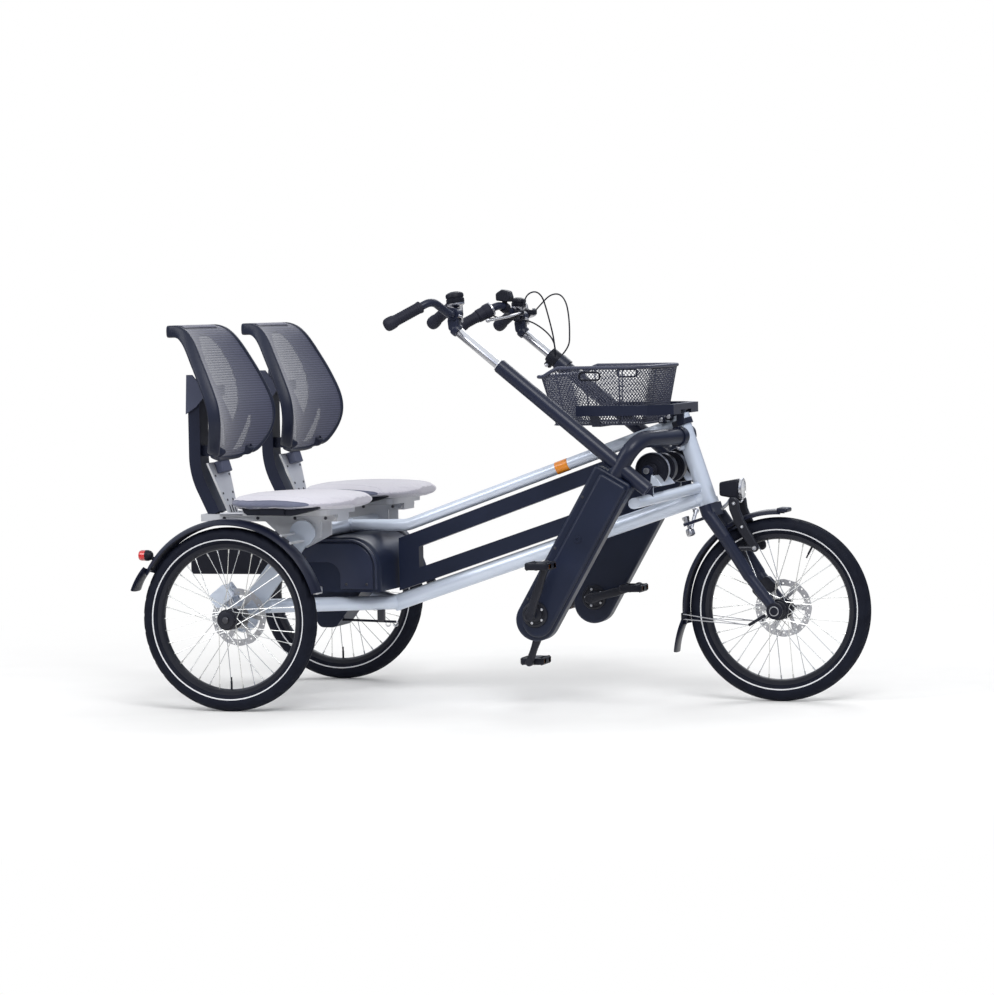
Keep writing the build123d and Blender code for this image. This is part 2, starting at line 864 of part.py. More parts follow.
    # Backrest shell: a loft of crescents. Columns: height, how far forward its
    # edges stand, and width.
    back_sections = (
        # height, edge ahead, width
        (back_bottom_z, back_bottom_ahead, back_bottom_width),
        (back_low_z, back_low_ahead, back_low_width),
        (back_lumbar_z, back_lumbar_ahead, back_widest),
        (back_high_z, back_high_ahead, back_high_width),
        (back_top_z, back_top_ahead, back_top_width),
    )
    with BuildPart() as backrest:
        for section_z, edge_ahead, section_width in back_sections:
            wrap = back_wrap * section_width / back_widest
            with BuildSketch(Plane(origin=at(edge_ahead, seat_side, section_z))):
                with BuildLine():
                    half = section_width / 2
                    ThreePointArc((0, -half), (-wrap, 0), (0, half))
                    Line((0, half), (-back_thick, half))
                    ThreePointArc((-back_thick, half), (-back_thick - wrap, 0), (-back_thick, -half))
                    Line((-back_thick, -half), (0, -half))
                make_face()
        loft()
        add(backrest_bar.part, mode=Mode.SUBTRACT)
    save(backrest, "backrest_" + side_name)

# Handlebars: the right rider's is fixed, the left rider's steers.
# Half of a bar, from the stem to the grip's end. Columns: back, outward, up
half_points = (
    (0, 0, 0),
    (0, bar_middle_half, 0),
    (bar_bend_back, bar_bend_out, bar_bend_rise),
    (bar_end_back, bar_end_out, -bar_end_drop),
)
post_up = Vector(sin(slope), 0, cos(slope))
bar_tables = (
    # rider, sign, post length, what the inner grip gives up to a twist shifter
    ("copilot", -1, copilot_post_length, 0),
    ("pilot", 1, pilot_post_length, shifter_length),
)
bar_centres = {}
handlebars = {}
for rider, sign, post_length, shifter_share in bar_tables:
    sleeve_low = at(sleeve_low_ahead, sign * half_seat_spacing, sleeve_low_z)
    post_top = sleeve_low + post_direction * post_length
    bar_centre = post_top + Vector(0, 0, bar_lift)
    bar_centres[rider] = bar_centre
    with BuildPart() as handlebar:
        bar(sleeve_low + post_direction * post_inset, post_top, post_radius)
        bar(post_top - post_direction * post_head_length, post_top, post_head_radius)
        bar(post_top - post_direction * stem_neck_radius, bar_centre, stem_neck_radius)
        bar(
            bar_centre - Vector(0, stem_length / 2, 0),
            bar_centre + Vector(0, stem_length / 2, 0),
            stem_radius,
        )
        for outward in (-1, 1):
            points = [bar_centre + Vector(-back, outward * out, up) for back, out, up in half_points]
            bent_bar(points, bar_radius, [bar_bend_radius, bar_bend_radius])
        if rider == "pilot":
            # Post end that carries the steering lever below the sleeve
            lever_root = sleeve_low - post_direction * lever_collar_drop
            bar(lever_root, sleeve_low - post_direction * clear_gap, lever_collar_radius)
            bar(lever_root, sleeve_low + post_direction * post_inset, post_radius)
            post_lever_end = lever_root - post_up * steering_lever_length
            with BuildSketch(Plane(origin=lever_root, x_dir=(0, 1, 0), z_dir=post_direction)):
                with BuildLine():
                    Polyline(
                        (-lever_collar_radius, 0),
                        (lever_collar_radius, 0),
                        (ball_radius, steering_lever_length),
                        (-ball_radius, steering_lever_length),
                        close=True,
                    )
                make_face()
                with Locations((0, steering_lever_length)):
                    Circle(ball_radius)
            extrude(amount=steering_lever_thick)
    save(handlebar, rider + "_bar")
    handlebars[rider] = handlebar
    with BuildPart() as grips:
        for outward in (-1, 1):
            given_up = shifter_share if outward < 0 else 0
            bend = bar_centre + Vector(-bar_bend_back, outward * bar_bend_out, bar_bend_rise)
            end = bar_centre + Vector(-bar_end_back, outward * bar_end_out, -bar_end_drop)
            grip_run = (end - bend).normalized()
            bar(end - grip_run * (grip_length - given_up), end + grip_run * grip_cap, grip_radius)
        add(handlebar.part, mode=Mode.SUBTRACT)
    save(grips, rider + "_grips")


def bar_ring(rider, outward, share):
    """A clamp ring on a bar's rising stretch, and its middle."""
    foot = bar_centres[rider] + Vector(0, outward * bar_middle_half, 0)
    bend = bar_centres[rider] + Vector(-bar_bend_back, outward * bar_bend_out, bar_bend_rise)
    spot = foot + (bend - foot) * share
    half = (bend - foot).normalized() * ring_length / 2
    bar(spot - half, spot + half, ring_radius)
    return spot


def bell(rider, outward, radius, height):
    """A bell on its ring, beside a bar's stem."""
    spot = bar_centres[rider] + Vector(0, outward * bell_out, 0)
    bar(spot - Vector(0, ring_length / 2, 0), spot + Vector(0, ring_length / 2, 0), ring_radius)
    bar(spot, spot + Vector(0, 0, ring_radius * 2), ring_radius / 2)
    base = spot + Vector(0, 0, ring_radius * 2)
    bar(base, base + Vector(0, 0, height), radius)
    bar(base + Vector(0, 0, height), base + Vector(0, 0, height + radius / 4), radius * 2 / 3)


# The pilot's controls: twist shifter, two brake levers, display, bell, and the
# collar on the post that takes the cables
with BuildPart() as pilot_controls:
    pilot_centre = bar_centres["pilot"]
    bend = pilot_centre + Vector(-bar_bend_back, -bar_bend_out, bar_bend_rise)
    end = pilot_centre + Vector(-bar_end_back, -bar_end_out, -bar_end_drop)
    grip_run = (end - bend).normalized()
    shifter_start = end - grip_run * grip_length
    bar(shifter_start, shifter_start + grip_run * (shifter_length - clear_gap), shifter_radius)
    for outward in (-1, 1):
        spot = bar_ring("pilot", outward, lever_ring_share)
        pivot = spot + Vector(lever_pivot_ahead, 0, lever_pivot_up)
        bar(spot, pivot + Vector(lever_radius, 0, 0), lever_tip_radius)
        knuckle = pilot_centre + Vector(lever_knuckle_ahead, outward * lever_knuckle_out, lever_knuckle_up)
        tip = pilot_centre + Vector(-lever_tip_back, outward * lever_tip_out, -lever_tip_drop)
        bent_bar([pivot, knuckle, tip], lever_radius, lever_bend_radius)
        tip_run = (tip - knuckle).normalized() * lever_tip_radius
        bar(tip - tip_run, tip + tip_run, lever_tip_radius)
    spot = bar_ring("pilot", -1, display_ring_share)
    with Locations(spot + Vector(0, 0, display_lift)):
        Box(display_length, display_width, display_height)
    bar(spot, spot + Vector(0, 0, display_lift), ring_radius / 2)
    bell("pilot", -1, bell_radius, bell_height)
    collar_low = at(sleeve_low_ahead, half_seat_spacing, sleeve_low_z) + post_direction * (
        sleeve_length + clear_gap
    )
    bar(collar_low, collar_low + post_direction * cable_collar_length, cable_collar_radius)
    add(handlebars["pilot"].part, mode=Mode.SUBTRACT)
save(pilot_controls, "pilot_controls")

# The co-pilot's bell
with BuildPart() as copilot_bell:
    bell("copilot", 1, copilot_bell_radius, copilot_bell_height)
    add(handlebars["copilot"].part, mode=Mode.SUBTRACT)
save(copilot_bell, "copilot_bell")

# The pilot's cables, each from its control to the collar on the post
cable_routes = (
    # ahead, left, up
    # From the twist shifter
    (
        (576, 152, 1078),
        (596, 165, 1064),
        (628, 190, 1062),
        (664, 222, 1060),
        (698, 246, 1038),
        (728, 258, 1006),
        (736, 260, 972),
        (732, 267, 950),
    ),
    # From the right-hand brake lever, in a small loop
    (
        (648, 223, 1083),
        (652, 232, 1112),
        (658, 248, 1134),
        (676, 270, 1142),
        (692, 282, 1126),
        (701, 289, 1091),
        (712, 292, 1045),
        (722, 293, 1000),
        (724, 294, 965),
    ),
    # From the left-hand brake lever, in a wide loop
    (
        (648, 348, 1083),
        (668, 354, 1106),
        (692, 357, 1130),
        (722, 354, 1134),
        (744, 345, 1111),
        (755, 334, 1070),
        (761, 320, 1022),
        (762, 308, 976),
        (735, 301, 950),
    ),
)
with BuildPart() as pilot_cables:
    for places in cable_routes:
        route = [at(*place) for place in places]
        bends = []
        for before, corner, after in zip(route, route[1:], route[2:]):
            run_in = corner - before
            run_out = after - corner
            half_turn = radians(run_in.get_angle(run_out) / 2)
            shorter = min(run_in.length, run_out.length)
            bends.append(cable_arc_share * shorter / tan(half_turn))
        bent_bar(route, cable_radius, bends)
        print("cable radii", [round(bend) for bend in bends])
    add(pilot_controls.part, mode=Mode.SUBTRACT)
    add(handlebars["pilot"].part, mode=Mode.SUBTRACT)
save(pilot_cables, "pilot_cables")
# Front carrier: a ring round the basket with a strap under it and a clamp arm
ring_outer_half = basket_half_width + basket_flare * ring_height_share + carrier_ring_bar
ring_front = carrier_ring_front_ahead - rear_axle_back
ring_rear = carrier_ring_rear_ahead - rear_axle_back
ring_plane = Plane(origin=(0, 0, carrier_ring_z))
with BuildPart() as basket_carrier:
    with BuildSketch(ring_plane):
        with BuildLine():
            Polyline(
                (ring_rear, -ring_outer_half),
                (ring_front - ring_corner, -ring_outer_half),
                (ring_front, -ring_outer_half + ring_corner),
                (ring_front, ring_outer_half - ring_corner),
                (ring_front - ring_corner, ring_outer_half),
                (ring_rear, ring_outer_half),
                (ring_rear, ring_outer_half - carrier_ring_bar),
                (ring_front - ring_corner - carrier_ring_bar / 2, ring_outer_half - carrier_ring_bar),
                (ring_front - carrier_ring_bar, ring_outer_half - ring_corner - carrier_ring_bar / 2),
                (ring_front - carrier_ring_bar, -ring_outer_half + ring_corner + carrier_ring_bar / 2),
                (ring_front - ring_corner - carrier_ring_bar / 2, -ring_outer_half + carrier_ring_bar),
                (ring_rear, -ring_outer_half + carrier_ring_bar),
                close=True,
            )
        make_face()
    extrude(amount=carrier_ring_height)
    # Strap that hangs from the ring and passes under the basket's floor
    strap_middle = (basket_rear_ahead + basket_front_ahead) / 2 - rear_axle_back
    strap_outer = ring_outer_half - carrier_ring_bar
    with BuildSketch(Plane.YZ.offset(strap_middle - strap_width / 2)):
        with BuildLine():
            Polyline(
                (-strap_outer - carrier_ring_bar / 2, carrier_ring_z),
                (-basket_half_width, basket_floor_z - strap_thick),
                (basket_half_width, basket_floor_z - strap_thick),
                (strap_outer + carrier_ring_bar / 2, carrier_ring_z),
                (strap_outer + carrier_ring_bar / 2 - strap_thick, carrier_ring_z),
                (basket_half_width - strap_thick / 2, basket_floor_z),
                (-basket_half_width + strap_thick / 2, basket_floor_z),
                (-strap_outer - carrier_ring_bar / 2 + strap_thick, carrier_ring_z),
                close=True,
            )
        make_face()
    extrude(amount=strap_width)
    # Clamp arm from the head tube's top to the ring
    with BuildSketch(head_plane.offset(head_length - head_cup_length - clamp_height)):
        Circle(clamp_radius)
    extrude(amount=clamp_height)
    clamp_middle = head_top - head_direction * (head_cup_length + clamp_height / 2)
    with BuildSketch(Plane.XY.offset(carrier_ring_z)):
        with Locations((ring_front - carrier_ring_bar / 2, 0)):
            Rectangle(carrier_ring_bar, clamp_radius * 2)
    extrude(amount=-clamp_ear_drop)
    for neighbour in (head_space, upper_tube, *support_arms):
        add(neighbour.part, mode=Mode.SUBTRACT)
    with BuildSketch(head_plane.offset(head_length)):
        Circle(clamp_radius * 2)
    extrude(amount=steerer_cap_length + clear_gap, mode=Mode.SUBTRACT)
save(basket_carrier, "basket_carrier")

# Basket: a tapered tray of even wall, lower at its rear rim
with BuildPart() as basket:
    floor_length = basket_front_ahead - basket_rear_ahead
    floor_middle = (basket_front_ahead + basket_rear_ahead) / 2
    with BuildSketch(Plane(origin=at(floor_middle, 0, basket_floor_z))):
        RectangleRounded(floor_length, basket_half_width * 2, basket_corner)
    rim_middle = floor_middle - basket_rake
    with BuildSketch(Plane(origin=at(rim_middle, 0, basket_rim_front_z))):
        RectangleRounded(
            floor_length + basket_rim_growth,
            (basket_half_width + basket_flare) * 2,
            basket_corner + basket_rim_growth / 2,
        )
    loft(ruled=True)
    offset(amount=-basket_wall, openings=basket.faces().sort_by(Axis.Z)[-1])
    # The rear rim is cut lower
    rim_rear = rim_middle - (floor_length + basket_rim_growth) / 2
    with BuildSketch(side_plane(0)):
        with BuildLine():
            Polyline(
                (rim_rear - rear_axle_back - overrun, basket_rim_rear_z),
                (rim_rear - rear_axle_back + basket_cut_level, basket_rim_rear_z),
                (rim_rear - rear_axle_back + basket_cut_level + basket_cut_ramp, basket_rim_front_z),
                (rim_rear - rear_axle_back - overrun, basket_rim_front_z),
                close=True,
            )
        make_face()
    extrude(amount=basket_half_width * 2, both=True, mode=Mode.SUBTRACT)
    # Finger slots in the side walls
    with BuildSketch(side_plane(0)):
        with Locations((finger_slot_ahead - rear_axle_back, finger_slot_z)):
            RectangleRounded(finger_slot_length, finger_slot_height, finger_slot_height / 3)
    extrude(amount=basket_half_width * 2, both=True, mode=Mode.SUBTRACT)
    # Openings of the wire walls, as a plain grid
    row_pitch = (basket_grid_high_z - basket_grid_low_z) / basket_grid_rows
    grid_z = (basket_grid_high_z + basket_grid_low_z) / 2
    for wall_plane, grid_middle, wall_length in (
        (side_plane(0), floor_middle - rear_axle_back, floor_length),
        (Plane.YZ, 0, basket_half_width * 2),
    ):
        column_pitch = (wall_length - 2 * basket_grid_inset) / basket_grid_columns
        with BuildSketch(wall_plane):
            with Locations((grid_middle, grid_z)):
                with GridLocations(column_pitch, row_pitch, basket_grid_columns, basket_grid_rows):
                    Rectangle(column_pitch * basket_window_share, row_pitch * basket_window_share)
        extrude(amount=rear_axle_back, both=True, mode=Mode.SUBTRACT)
    add(basket_carrier.part, mode=Mode.SUBTRACT)
save(basket, "basket")

# Mudguards over the rear wheels, each with a flap and a strut to its carrier
axle_x = -rear_axle_back
guard_outer = mudguard_radius + mudguard_thick


def mudguard(middle, start_angle, end_angle, width, flap_angle):
    """A strip round a wheel between two angles, with a straight flap at its end."""
    start_ray = (cos(radians(start_angle)), sin(radians(start_angle)))
    end_ray = (cos(radians(end_angle)), sin(radians(end_angle)))
    flap_ray = (cos(radians(flap_angle)), sin(radians(flap_angle)))
    with BuildSketch(Plane(origin=middle, x_dir=(1, 0, 0), z_dir=(0, -1, 0))) as strip:
        with BuildLine():
            start_inner = (mudguard_radius * start_ray[0], mudguard_radius * start_ray[1])
            end_inner = (mudguard_radius * end_ray[0], mudguard_radius * end_ray[1])
            start_outer = (guard_outer * start_ray[0], guard_outer * start_ray[1])
            end_outer = (guard_outer * end_ray[0], guard_outer * end_ray[1])
            flap_inner = (
                end_inner[0] + flap_length * flap_ray[0],
                end_inner[1] + flap_length * flap_ray[1],
            )
            flap_outer = (
                end_outer[0] + flap_length * flap_ray[0],
                end_outer[1] + flap_length * flap_ray[1],
            )
            sweep_angle = end_angle - start_angle
            CenterArc((0, 0), mudguard_radius, start_angle, sweep_angle)
            Line(end_inner, flap_inner)
            Line(flap_inner, flap_outer)
            Line(flap_outer, end_outer)
            CenterArc((0, 0), guard_outer, end_angle, -sweep_angle)
            Line(start_outer, start_inner)
        make_face()
    extrude(strip.sketch, amount=width / 2, both=True)


for side_name, sign in sides:
    wheel_middle = Vector(axle_x, sign * half_track, wheel_radius)
    with BuildPart() as rear_mudguard:
        mudguard(
            wheel_middle,
            rear_mudguard_start,
            rear_mudguard_end,
            rear_mudguard_width,
            rear_flap_angle,
        )
        strut_reach = guard_outer + guard_strut_radius - mudguard_thick / 2
        for strut_angle in (guard_strut_angle, guard_strut_angle + guard_strut_spread):
            strut_x = axle_x + strut_reach * cos(radians(strut_angle))
            strut_z = wheel_radius + strut_reach * sin(radians(strut_angle))
            bar(
                Vector(strut_x, sign * (carrier_side + carrier_thick / 2), strut_z),
                Vector(strut_x, sign * half_track, strut_z),
                guard_strut_radius,
            )
    save(rear_mudguard, "rear_mudguard_" + side_name)

# Tail lamps on the rear mudguards
with BuildPart() as tail_lamps:
    for side_name, sign in sides:
        lamp_reach = guard_outer + clear_gap
        lamp_ray = Vector(cos(radians(tail_lamp_angle)), 0, sin(radians(tail_lamp_angle)))
        lamp_foot = Vector(axle_x, sign * half_track, wheel_radius) + lamp_ray * lamp_reach
        lamp_centre = lamp_foot + lamp_ray * tail_lamp_radius
        bar(lamp_centre, lamp_centre - Vector(tail_lamp_length, 0, 0), tail_lamp_radius)
        bar(lamp_foot, lamp_centre, tail_lamp_radius / 2)
save(tail_lamps, "tail_lamps")

# Fork: steerer, crown, two blades and the steering lever
crown_top = head_bottom - head_direction * clear_gap
fork_plane = Plane(origin=crown_top, x_dir=(0, 1, 0), z_dir=head_run)
crown_middle = crown_top - head_direction * (crown_height / 2)
axle_middle = at(wheelbase, 0, wheel_radius)
with BuildPart() as fork:
    bar(crown_top, head_top + head_direction * steerer_cap_length, steerer_radius)
    bar(
        head_top + head_direction * clear_gap,
        head_top + head_direction * steerer_cap_length,
        steerer_cap_radius,
    )
    with BuildSketch(fork_plane):
        RectangleRounded(
            (fork_half_width + blade_top_radius) * 2, crown_depth, crown_depth / 2 - clear_gap
        )
    extrude(amount=-crown_height)
    for sign in (-1, 1):
        blade_side = Vector(0, sign * fork_half_width, 0)
        bent_bar(
            [
                crown_middle + blade_side,
                at(blade_bow_ahead, sign * fork_half_width, blade_bow_z),
                at(blade_knee_ahead, sign * fork_half_width, blade_knee_z),
                axle_middle + blade_side,
            ],
            blade_top_radius,
            [blade_bend_radius, blade_bend_radius],
        )
        with BuildSketch(side_plane(sign * fork_half_width)):
            with Locations((axle_middle.X, axle_middle.Z)):
                Circle(dropout_radius)
        extrude(amount=dropout_thick / 2, both=True)
    bar(
        axle_middle - Vector(0, fork_half_width + dropout_thick, 0),
        axle_middle + Vector(0, fork_half_width + dropout_thick, 0),
        front_axle_radius,
    )
    with BuildSketch(fork_plane.offset(-crown_height)):
        Rectangle(steering_lever_width, steering_lever_width)
        with Locations((0, steering_lever_length / 2)):
            Rectangle(steering_lever_width, steering_lever_length)
        with Locations((0, steering_lever_length)):
            Circle(steering_lever_width / 2)
    extrude(amount=steering_lever_thick)
save(fork, "fork")
fork_lever_end = (
    crown_top
    - head_direction * crown_height
    + fork_plane.y_dir * steering_lever_length
)

# Tie rod from the fork's lever to the lever on the left post
rod_front = fork_lever_end - head_direction * ball_stud_length
rod_rear = post_lever_end - post_direction * ball_stud_length
with BuildPart() as tie_rod:
    bar(rod_front, rod_rear, tie_rod_radius)
    for eye in (rod_front, rod_rear):
        with Locations(eye):
            Sphere(ball_radius)
    bar(rod_front, fork_lever_end - head_direction * clear_gap, ball_stud_radius)
    bar(rod_rear, post_lever_end - post_direction * clear_gap, ball_stud_radius)
save(tie_rod, "tie_rod")

# Front mudguard, with a post up to the crown
with BuildPart() as front_mudguard:
    mudguard(
        axle_middle,
        front_mudguard_start,
        front_mudguard_end,
        front_mudguard_width,
        front_flap_angle,
    )
    crown_foot = crown_top - head_direction * (crown_height + clear_gap)
    towards_hub = (axle_middle - crown_foot).normalized()
    guard_gap = (axle_middle - crown_foot).length - mudguard_radius - mudguard_thick / 2
    bar(crown_foot, crown_foot + towards_hub * guard_gap, guard_strut_radius)
    add(fork.part, mode=Mode.SUBTRACT)
save(front_mudguard, "front_mudguard")

# Headlamp on a bracket from the crown
lamp_middle = at(headlamp_ahead, 0, headlamp_z)
with BuildPart() as headlamp:
    with BuildSketch(Plane(origin=lamp_middle, z_dir=(1, 0, 0))):
        Circle(headlamp_radius)
    extrude(amount=headlamp_length / 2, both=True, taper=headlamp_taper)
    bar(lamp_middle, crown_middle, guard_strut_radius)
    add(fork.part, mode=Mode.SUBTRACT)
save(headlamp, "headlamp")

# Rim brake arms in front of the fork's blades, and the disc caliper
with BuildPart() as front_brakes:
    for sign in (-1, 1):
        arm_low = at(brake_arm_low_ahead, sign * brake_arm_side, brake_arm_low_z)
        arm_high = at(brake_arm_high_ahead, sign * brake_arm_side, brake_arm_high_z)
        bar(arm_low, arm_high, brake_arm_radius)
        bar(arm_low, arm_low + Vector(-brake_boss_length, sign * brake_arm_side / 4, 0), brake_arm_radius)
    caliper_reach = rotor_radius + caliper_slot - caliper_height / 4
    caliper_ray = Vector(cos(radians(front_caliper_angle)), 0, sin(radians(front_caliper_angle)))
    caliper_middle = axle_middle + caliper_ray * caliper_reach
    with BuildSketch(side_plane(front_rotor_offset)):
        with Locations(Location((caliper_middle.X, caliper_middle.Z), front_caliper_angle - 90)):
            RectangleRounded(caliper_length, caliper_height, caliper_height / 4)
    extrude(amount=front_caliper_width / 2, both=True)
    with BuildSketch(side_plane(front_rotor_offset)):
        with Locations((axle_middle.X, axle_middle.Z)):
            Circle(rotor_radius + caliper_slot)
    extrude(amount=caliper_slot / 2, both=True, mode=Mode.SUBTRACT)
    add(fork.part, mode=Mode.SUBTRACT)
save(front_brakes, "front_brakes")

# Wheels. Columns: name, middle of the axle, where the brake rotor stands from
# the wheel's middle plane, towards +Y, and the axle's radius
wheels = (
    ("rear_right", Vector(axle_x, -half_track, wheel_radius), rear_rotor_offset, stub_axle_radius),
    ("rear_left", Vector(axle_x, half_track, wheel_radius), -rear_rotor_offset, stub_axle_radius),
    ("front", axle_middle, front_rotor_offset, front_axle_radius),
)
for wheel_name, middle, rotor_offset, axle_radius in wheels:
    inward = 1 if rotor_offset > 0 else -1
    wheel_plane = Plane(origin=middle, x_dir=(1, 0, 0), z_dir=(0, inward, 0))
    rotor_place = abs(rotor_offset)
    with BuildPart() as wheel:
        with BuildSketch(Plane(origin=middle, x_dir=(1, 0, 0), z_dir=(0, 0, 1))):
            with BuildLine():
                Polyline(
                    (rim_radius, -rim_width / 2),
                    (rim_radius, rim_width / 2),
                    (rim_radius - rim_depth / 2, rim_width / 2),
                    (rim_radius - rim_depth, rim_width / 4),
                    (rim_radius - rim_depth, -rim_width / 4),
                    (rim_radius - rim_depth / 2, -rim_width / 2),
                    close=True,
                )
            make_face()
        revolve(axis=Axis(middle, (0, 1, 0)))
        # Hub barrel with two spoke flanges
        with BuildSketch(wheel_plane.offset(-hub_outer_end)):
            Circle(hub_end_radius)
        extrude(amount=hub_outer_end)
        with BuildSketch(wheel_plane):
            Circle(hub_barrel_radius)
        extrude(amount=rotor_place)
        for flange_place in (-hub_flange_offset, hub_flange_offset):
            with BuildSketch(wheel_plane.offset(flange_place - hub_flange_thick / 2)):
                Circle(hub_flange_radius)
            extrude(amount=hub_flange_thick)
        # Spokes, crossing from each flange to the rim
        spoke_places = []
        for index in range(spoke_count):
            flange = hub_flange_offset * (1 if index % 2 else -1)
            turn = 360 * index / spoke_count
            lead = spoke_cross * (1 if index % 4 < 2 else -1)
            hub_turn = radians(turn + lead)
            rim_turn = radians(turn)
            hub_reach = hub_flange_radius - spoke_size
            rim_reach = rim_radius - rim_depth / 2
            foot = middle + Vector(hub_reach * cos(hub_turn), inward * flange, hub_reach * sin(hub_turn))
            nipple = middle + Vector(rim_reach * cos(rim_turn), 0, rim_reach * sin(rim_turn))
            run = nipple - foot
            spoke_places.append(Plane(origin=foot, z_dir=run).location)
        with Locations(*spoke_places):
            Box(
                spoke_size,
                spoke_size,
                run.length,
                align=(Align.CENTER, Align.CENTER, Align.MIN),
            )
        # Brake rotor: a band on curved arms
        with BuildSketch(wheel_plane.offset(rotor_place - rotor_thick / 2)):
            Circle(rotor_radius)
            Circle(rotor_radius - rotor_band, mode=Mode.SUBTRACT)
            with PolarLocations((rotor_radius - rotor_band) / 2, rotor_arm_count):
                Rectangle(rotor_radius - rotor_band + rotor_arm_width, rotor_arm_width)
            Circle(hub_barrel_radius + rotor_arm_width)
        extrude(amount=rotor_thick)
        axle_reach = hub_outer_end - stub_axle_end_gap + running_gap
        with BuildSketch(wheel_plane.offset(-axle_reach)):
            Circle(axle_radius + running_gap)
        extrude(amount=axle_reach + rotor_place + overrun, mode=Mode.SUBTRACT)
        if wheel_name == "front":
            with BuildSketch(wheel_plane):
                Circle(axle_radius + running_gap)
            extrude(amount=-hub_outer_end - overrun, mode=Mode.SUBTRACT)
    save(wheel, "wheel_" + wheel_name)

    with BuildPart() as tyre:
        tread_radius = tyre_width / 2
        with BuildSketch(Plane(origin=middle, x_dir=(1, 0, 0), z_dir=(0, 0, 1))):
            with BuildLine():
                Line((rim_radius, rim_width / 2), (rim_radius, -rim_width / 2))
                ThreePointArc(
                    (rim_radius, -rim_width / 2),
                    (wheel_radius - tread_radius, -tread_radius),
                    (wheel_radius - tread_radius * tread_edge_share, -tread_radius * tread_width_share),
                )
                ThreePointArc(
                    (wheel_radius - tread_radius * tread_edge_share, -tread_radius * tread_width_share),
                    (wheel_radius, 0),
                    (wheel_radius - tread_radius * tread_edge_share, tread_radius * tread_width_share),
                )
                ThreePointArc(
                    (wheel_radius - tread_radius * tread_edge_share, tread_radius * tread_width_share),
                    (wheel_radius - tread_radius, tread_radius),
                    (rim_radius, rim_width / 2),
                )
            make_face()
        revolve(axis=Axis(middle, (0, 1, 0)))
    save(tyre, "tyre_" + wheel_name)

# Crank sets and pedals. Columns: side, sign and angle of the outer arm
crank_sets = (
    ("right", -1, right_crank_angle),
    ("left", 1, left_crank_angle),
)
for side_name, sign, outer_angle in crank_sets:
    inner_side = sign * crank_inner_side
    outer_side = sign * crank_outer_side
    with BuildPart() as crank:
        bar(
            at(crank_ahead, inner_side, crank_z),
            at(crank_ahead, outer_side, crank_z),
            crank_axle_radius,
        )
        arms = (
            ("inner", inner_side, -sign, outer_angle + 180),
            ("outer", outer_side, sign, outer_angle),
        )
        for arm_name, arm_side, away, angle in arms:
            arm_direction = Vector(cos(radians(angle)), 0, sin(radians(angle)))
            arm_plane = Plane(
                origin=at(crank_ahead, arm_side, crank_z),
                x_dir=arm_direction,
                z_dir=(0, away, 0),
            )
            with BuildSketch(arm_plane):
                Circle(crank_arm_width / 2)
                with Locations((crank_length, 0)):
                    Circle(crank_tip_width / 2)
                with BuildLine():
                    Polyline(
                        (0, -crank_arm_width / 2),
                        (crank_length, -crank_tip_width / 2),
                        (crank_length, crank_tip_width / 2),
                        (0, crank_arm_width / 2),
                        close=True,
                    )
                make_face()
            extrude(amount=crank_arm_thick)
            pin_start = at(crank_ahead, arm_side, crank_z) + arm_direction * crank_length
            pin_away = Vector(0, away, 0)
            bar(
                pin_start + pin_away * crank_arm_thick / 2,
                pin_start + pin_away * (crank_arm_thick + pedal_gap + pedal_length / 2),
                pedal_pin_radius,
            )
    save(crank, "crank_" + side_name)
    for arm_name, arm_side, away, angle in arms:
        arm_direction = Vector(cos(radians(angle)), 0, sin(radians(angle)))
        pedal_side = arm_side + away * (crank_arm_thick + pedal_gap + pedal_length / 2)
        pedal_middle = at(crank_ahead, pedal_side, crank_z) + arm_direction * crank_length
        with BuildPart() as pedal:
            with BuildSketch(Plane(origin=pedal_middle, x_dir=(1, 0, 0), z_dir=(0, 0, 1))):
                RectangleRounded(pedal_width, pedal_length, pedal_width / 4)
                for window in (-1, 1):
                    with Locations((window * pedal_width / 4, 0)):
                        RectangleRounded(
                            pedal_width / 4,
                            pedal_length * 2 / 3,
                            pedal_width / 16,
                            mode=Mode.SUBTRACT,
                        )
            extrude(amount=pedal_thick / 2, both=True)
            bar(
                pedal_middle - Vector(0, away * (pedal_length / 2 + overrun), 0),
                pedal_middle + Vector(0, away * running_gap, 0),
                pedal_bore_radius,
                mode=Mode.SUBTRACT,
            )
        save(pedal, "pedal_" + side_name + "_" + arm_name)
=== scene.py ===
from math import cos, degrees, hypot, pi, radians, sin, tan

import bmesh
import bpy
from mathutils import Matrix, Vector


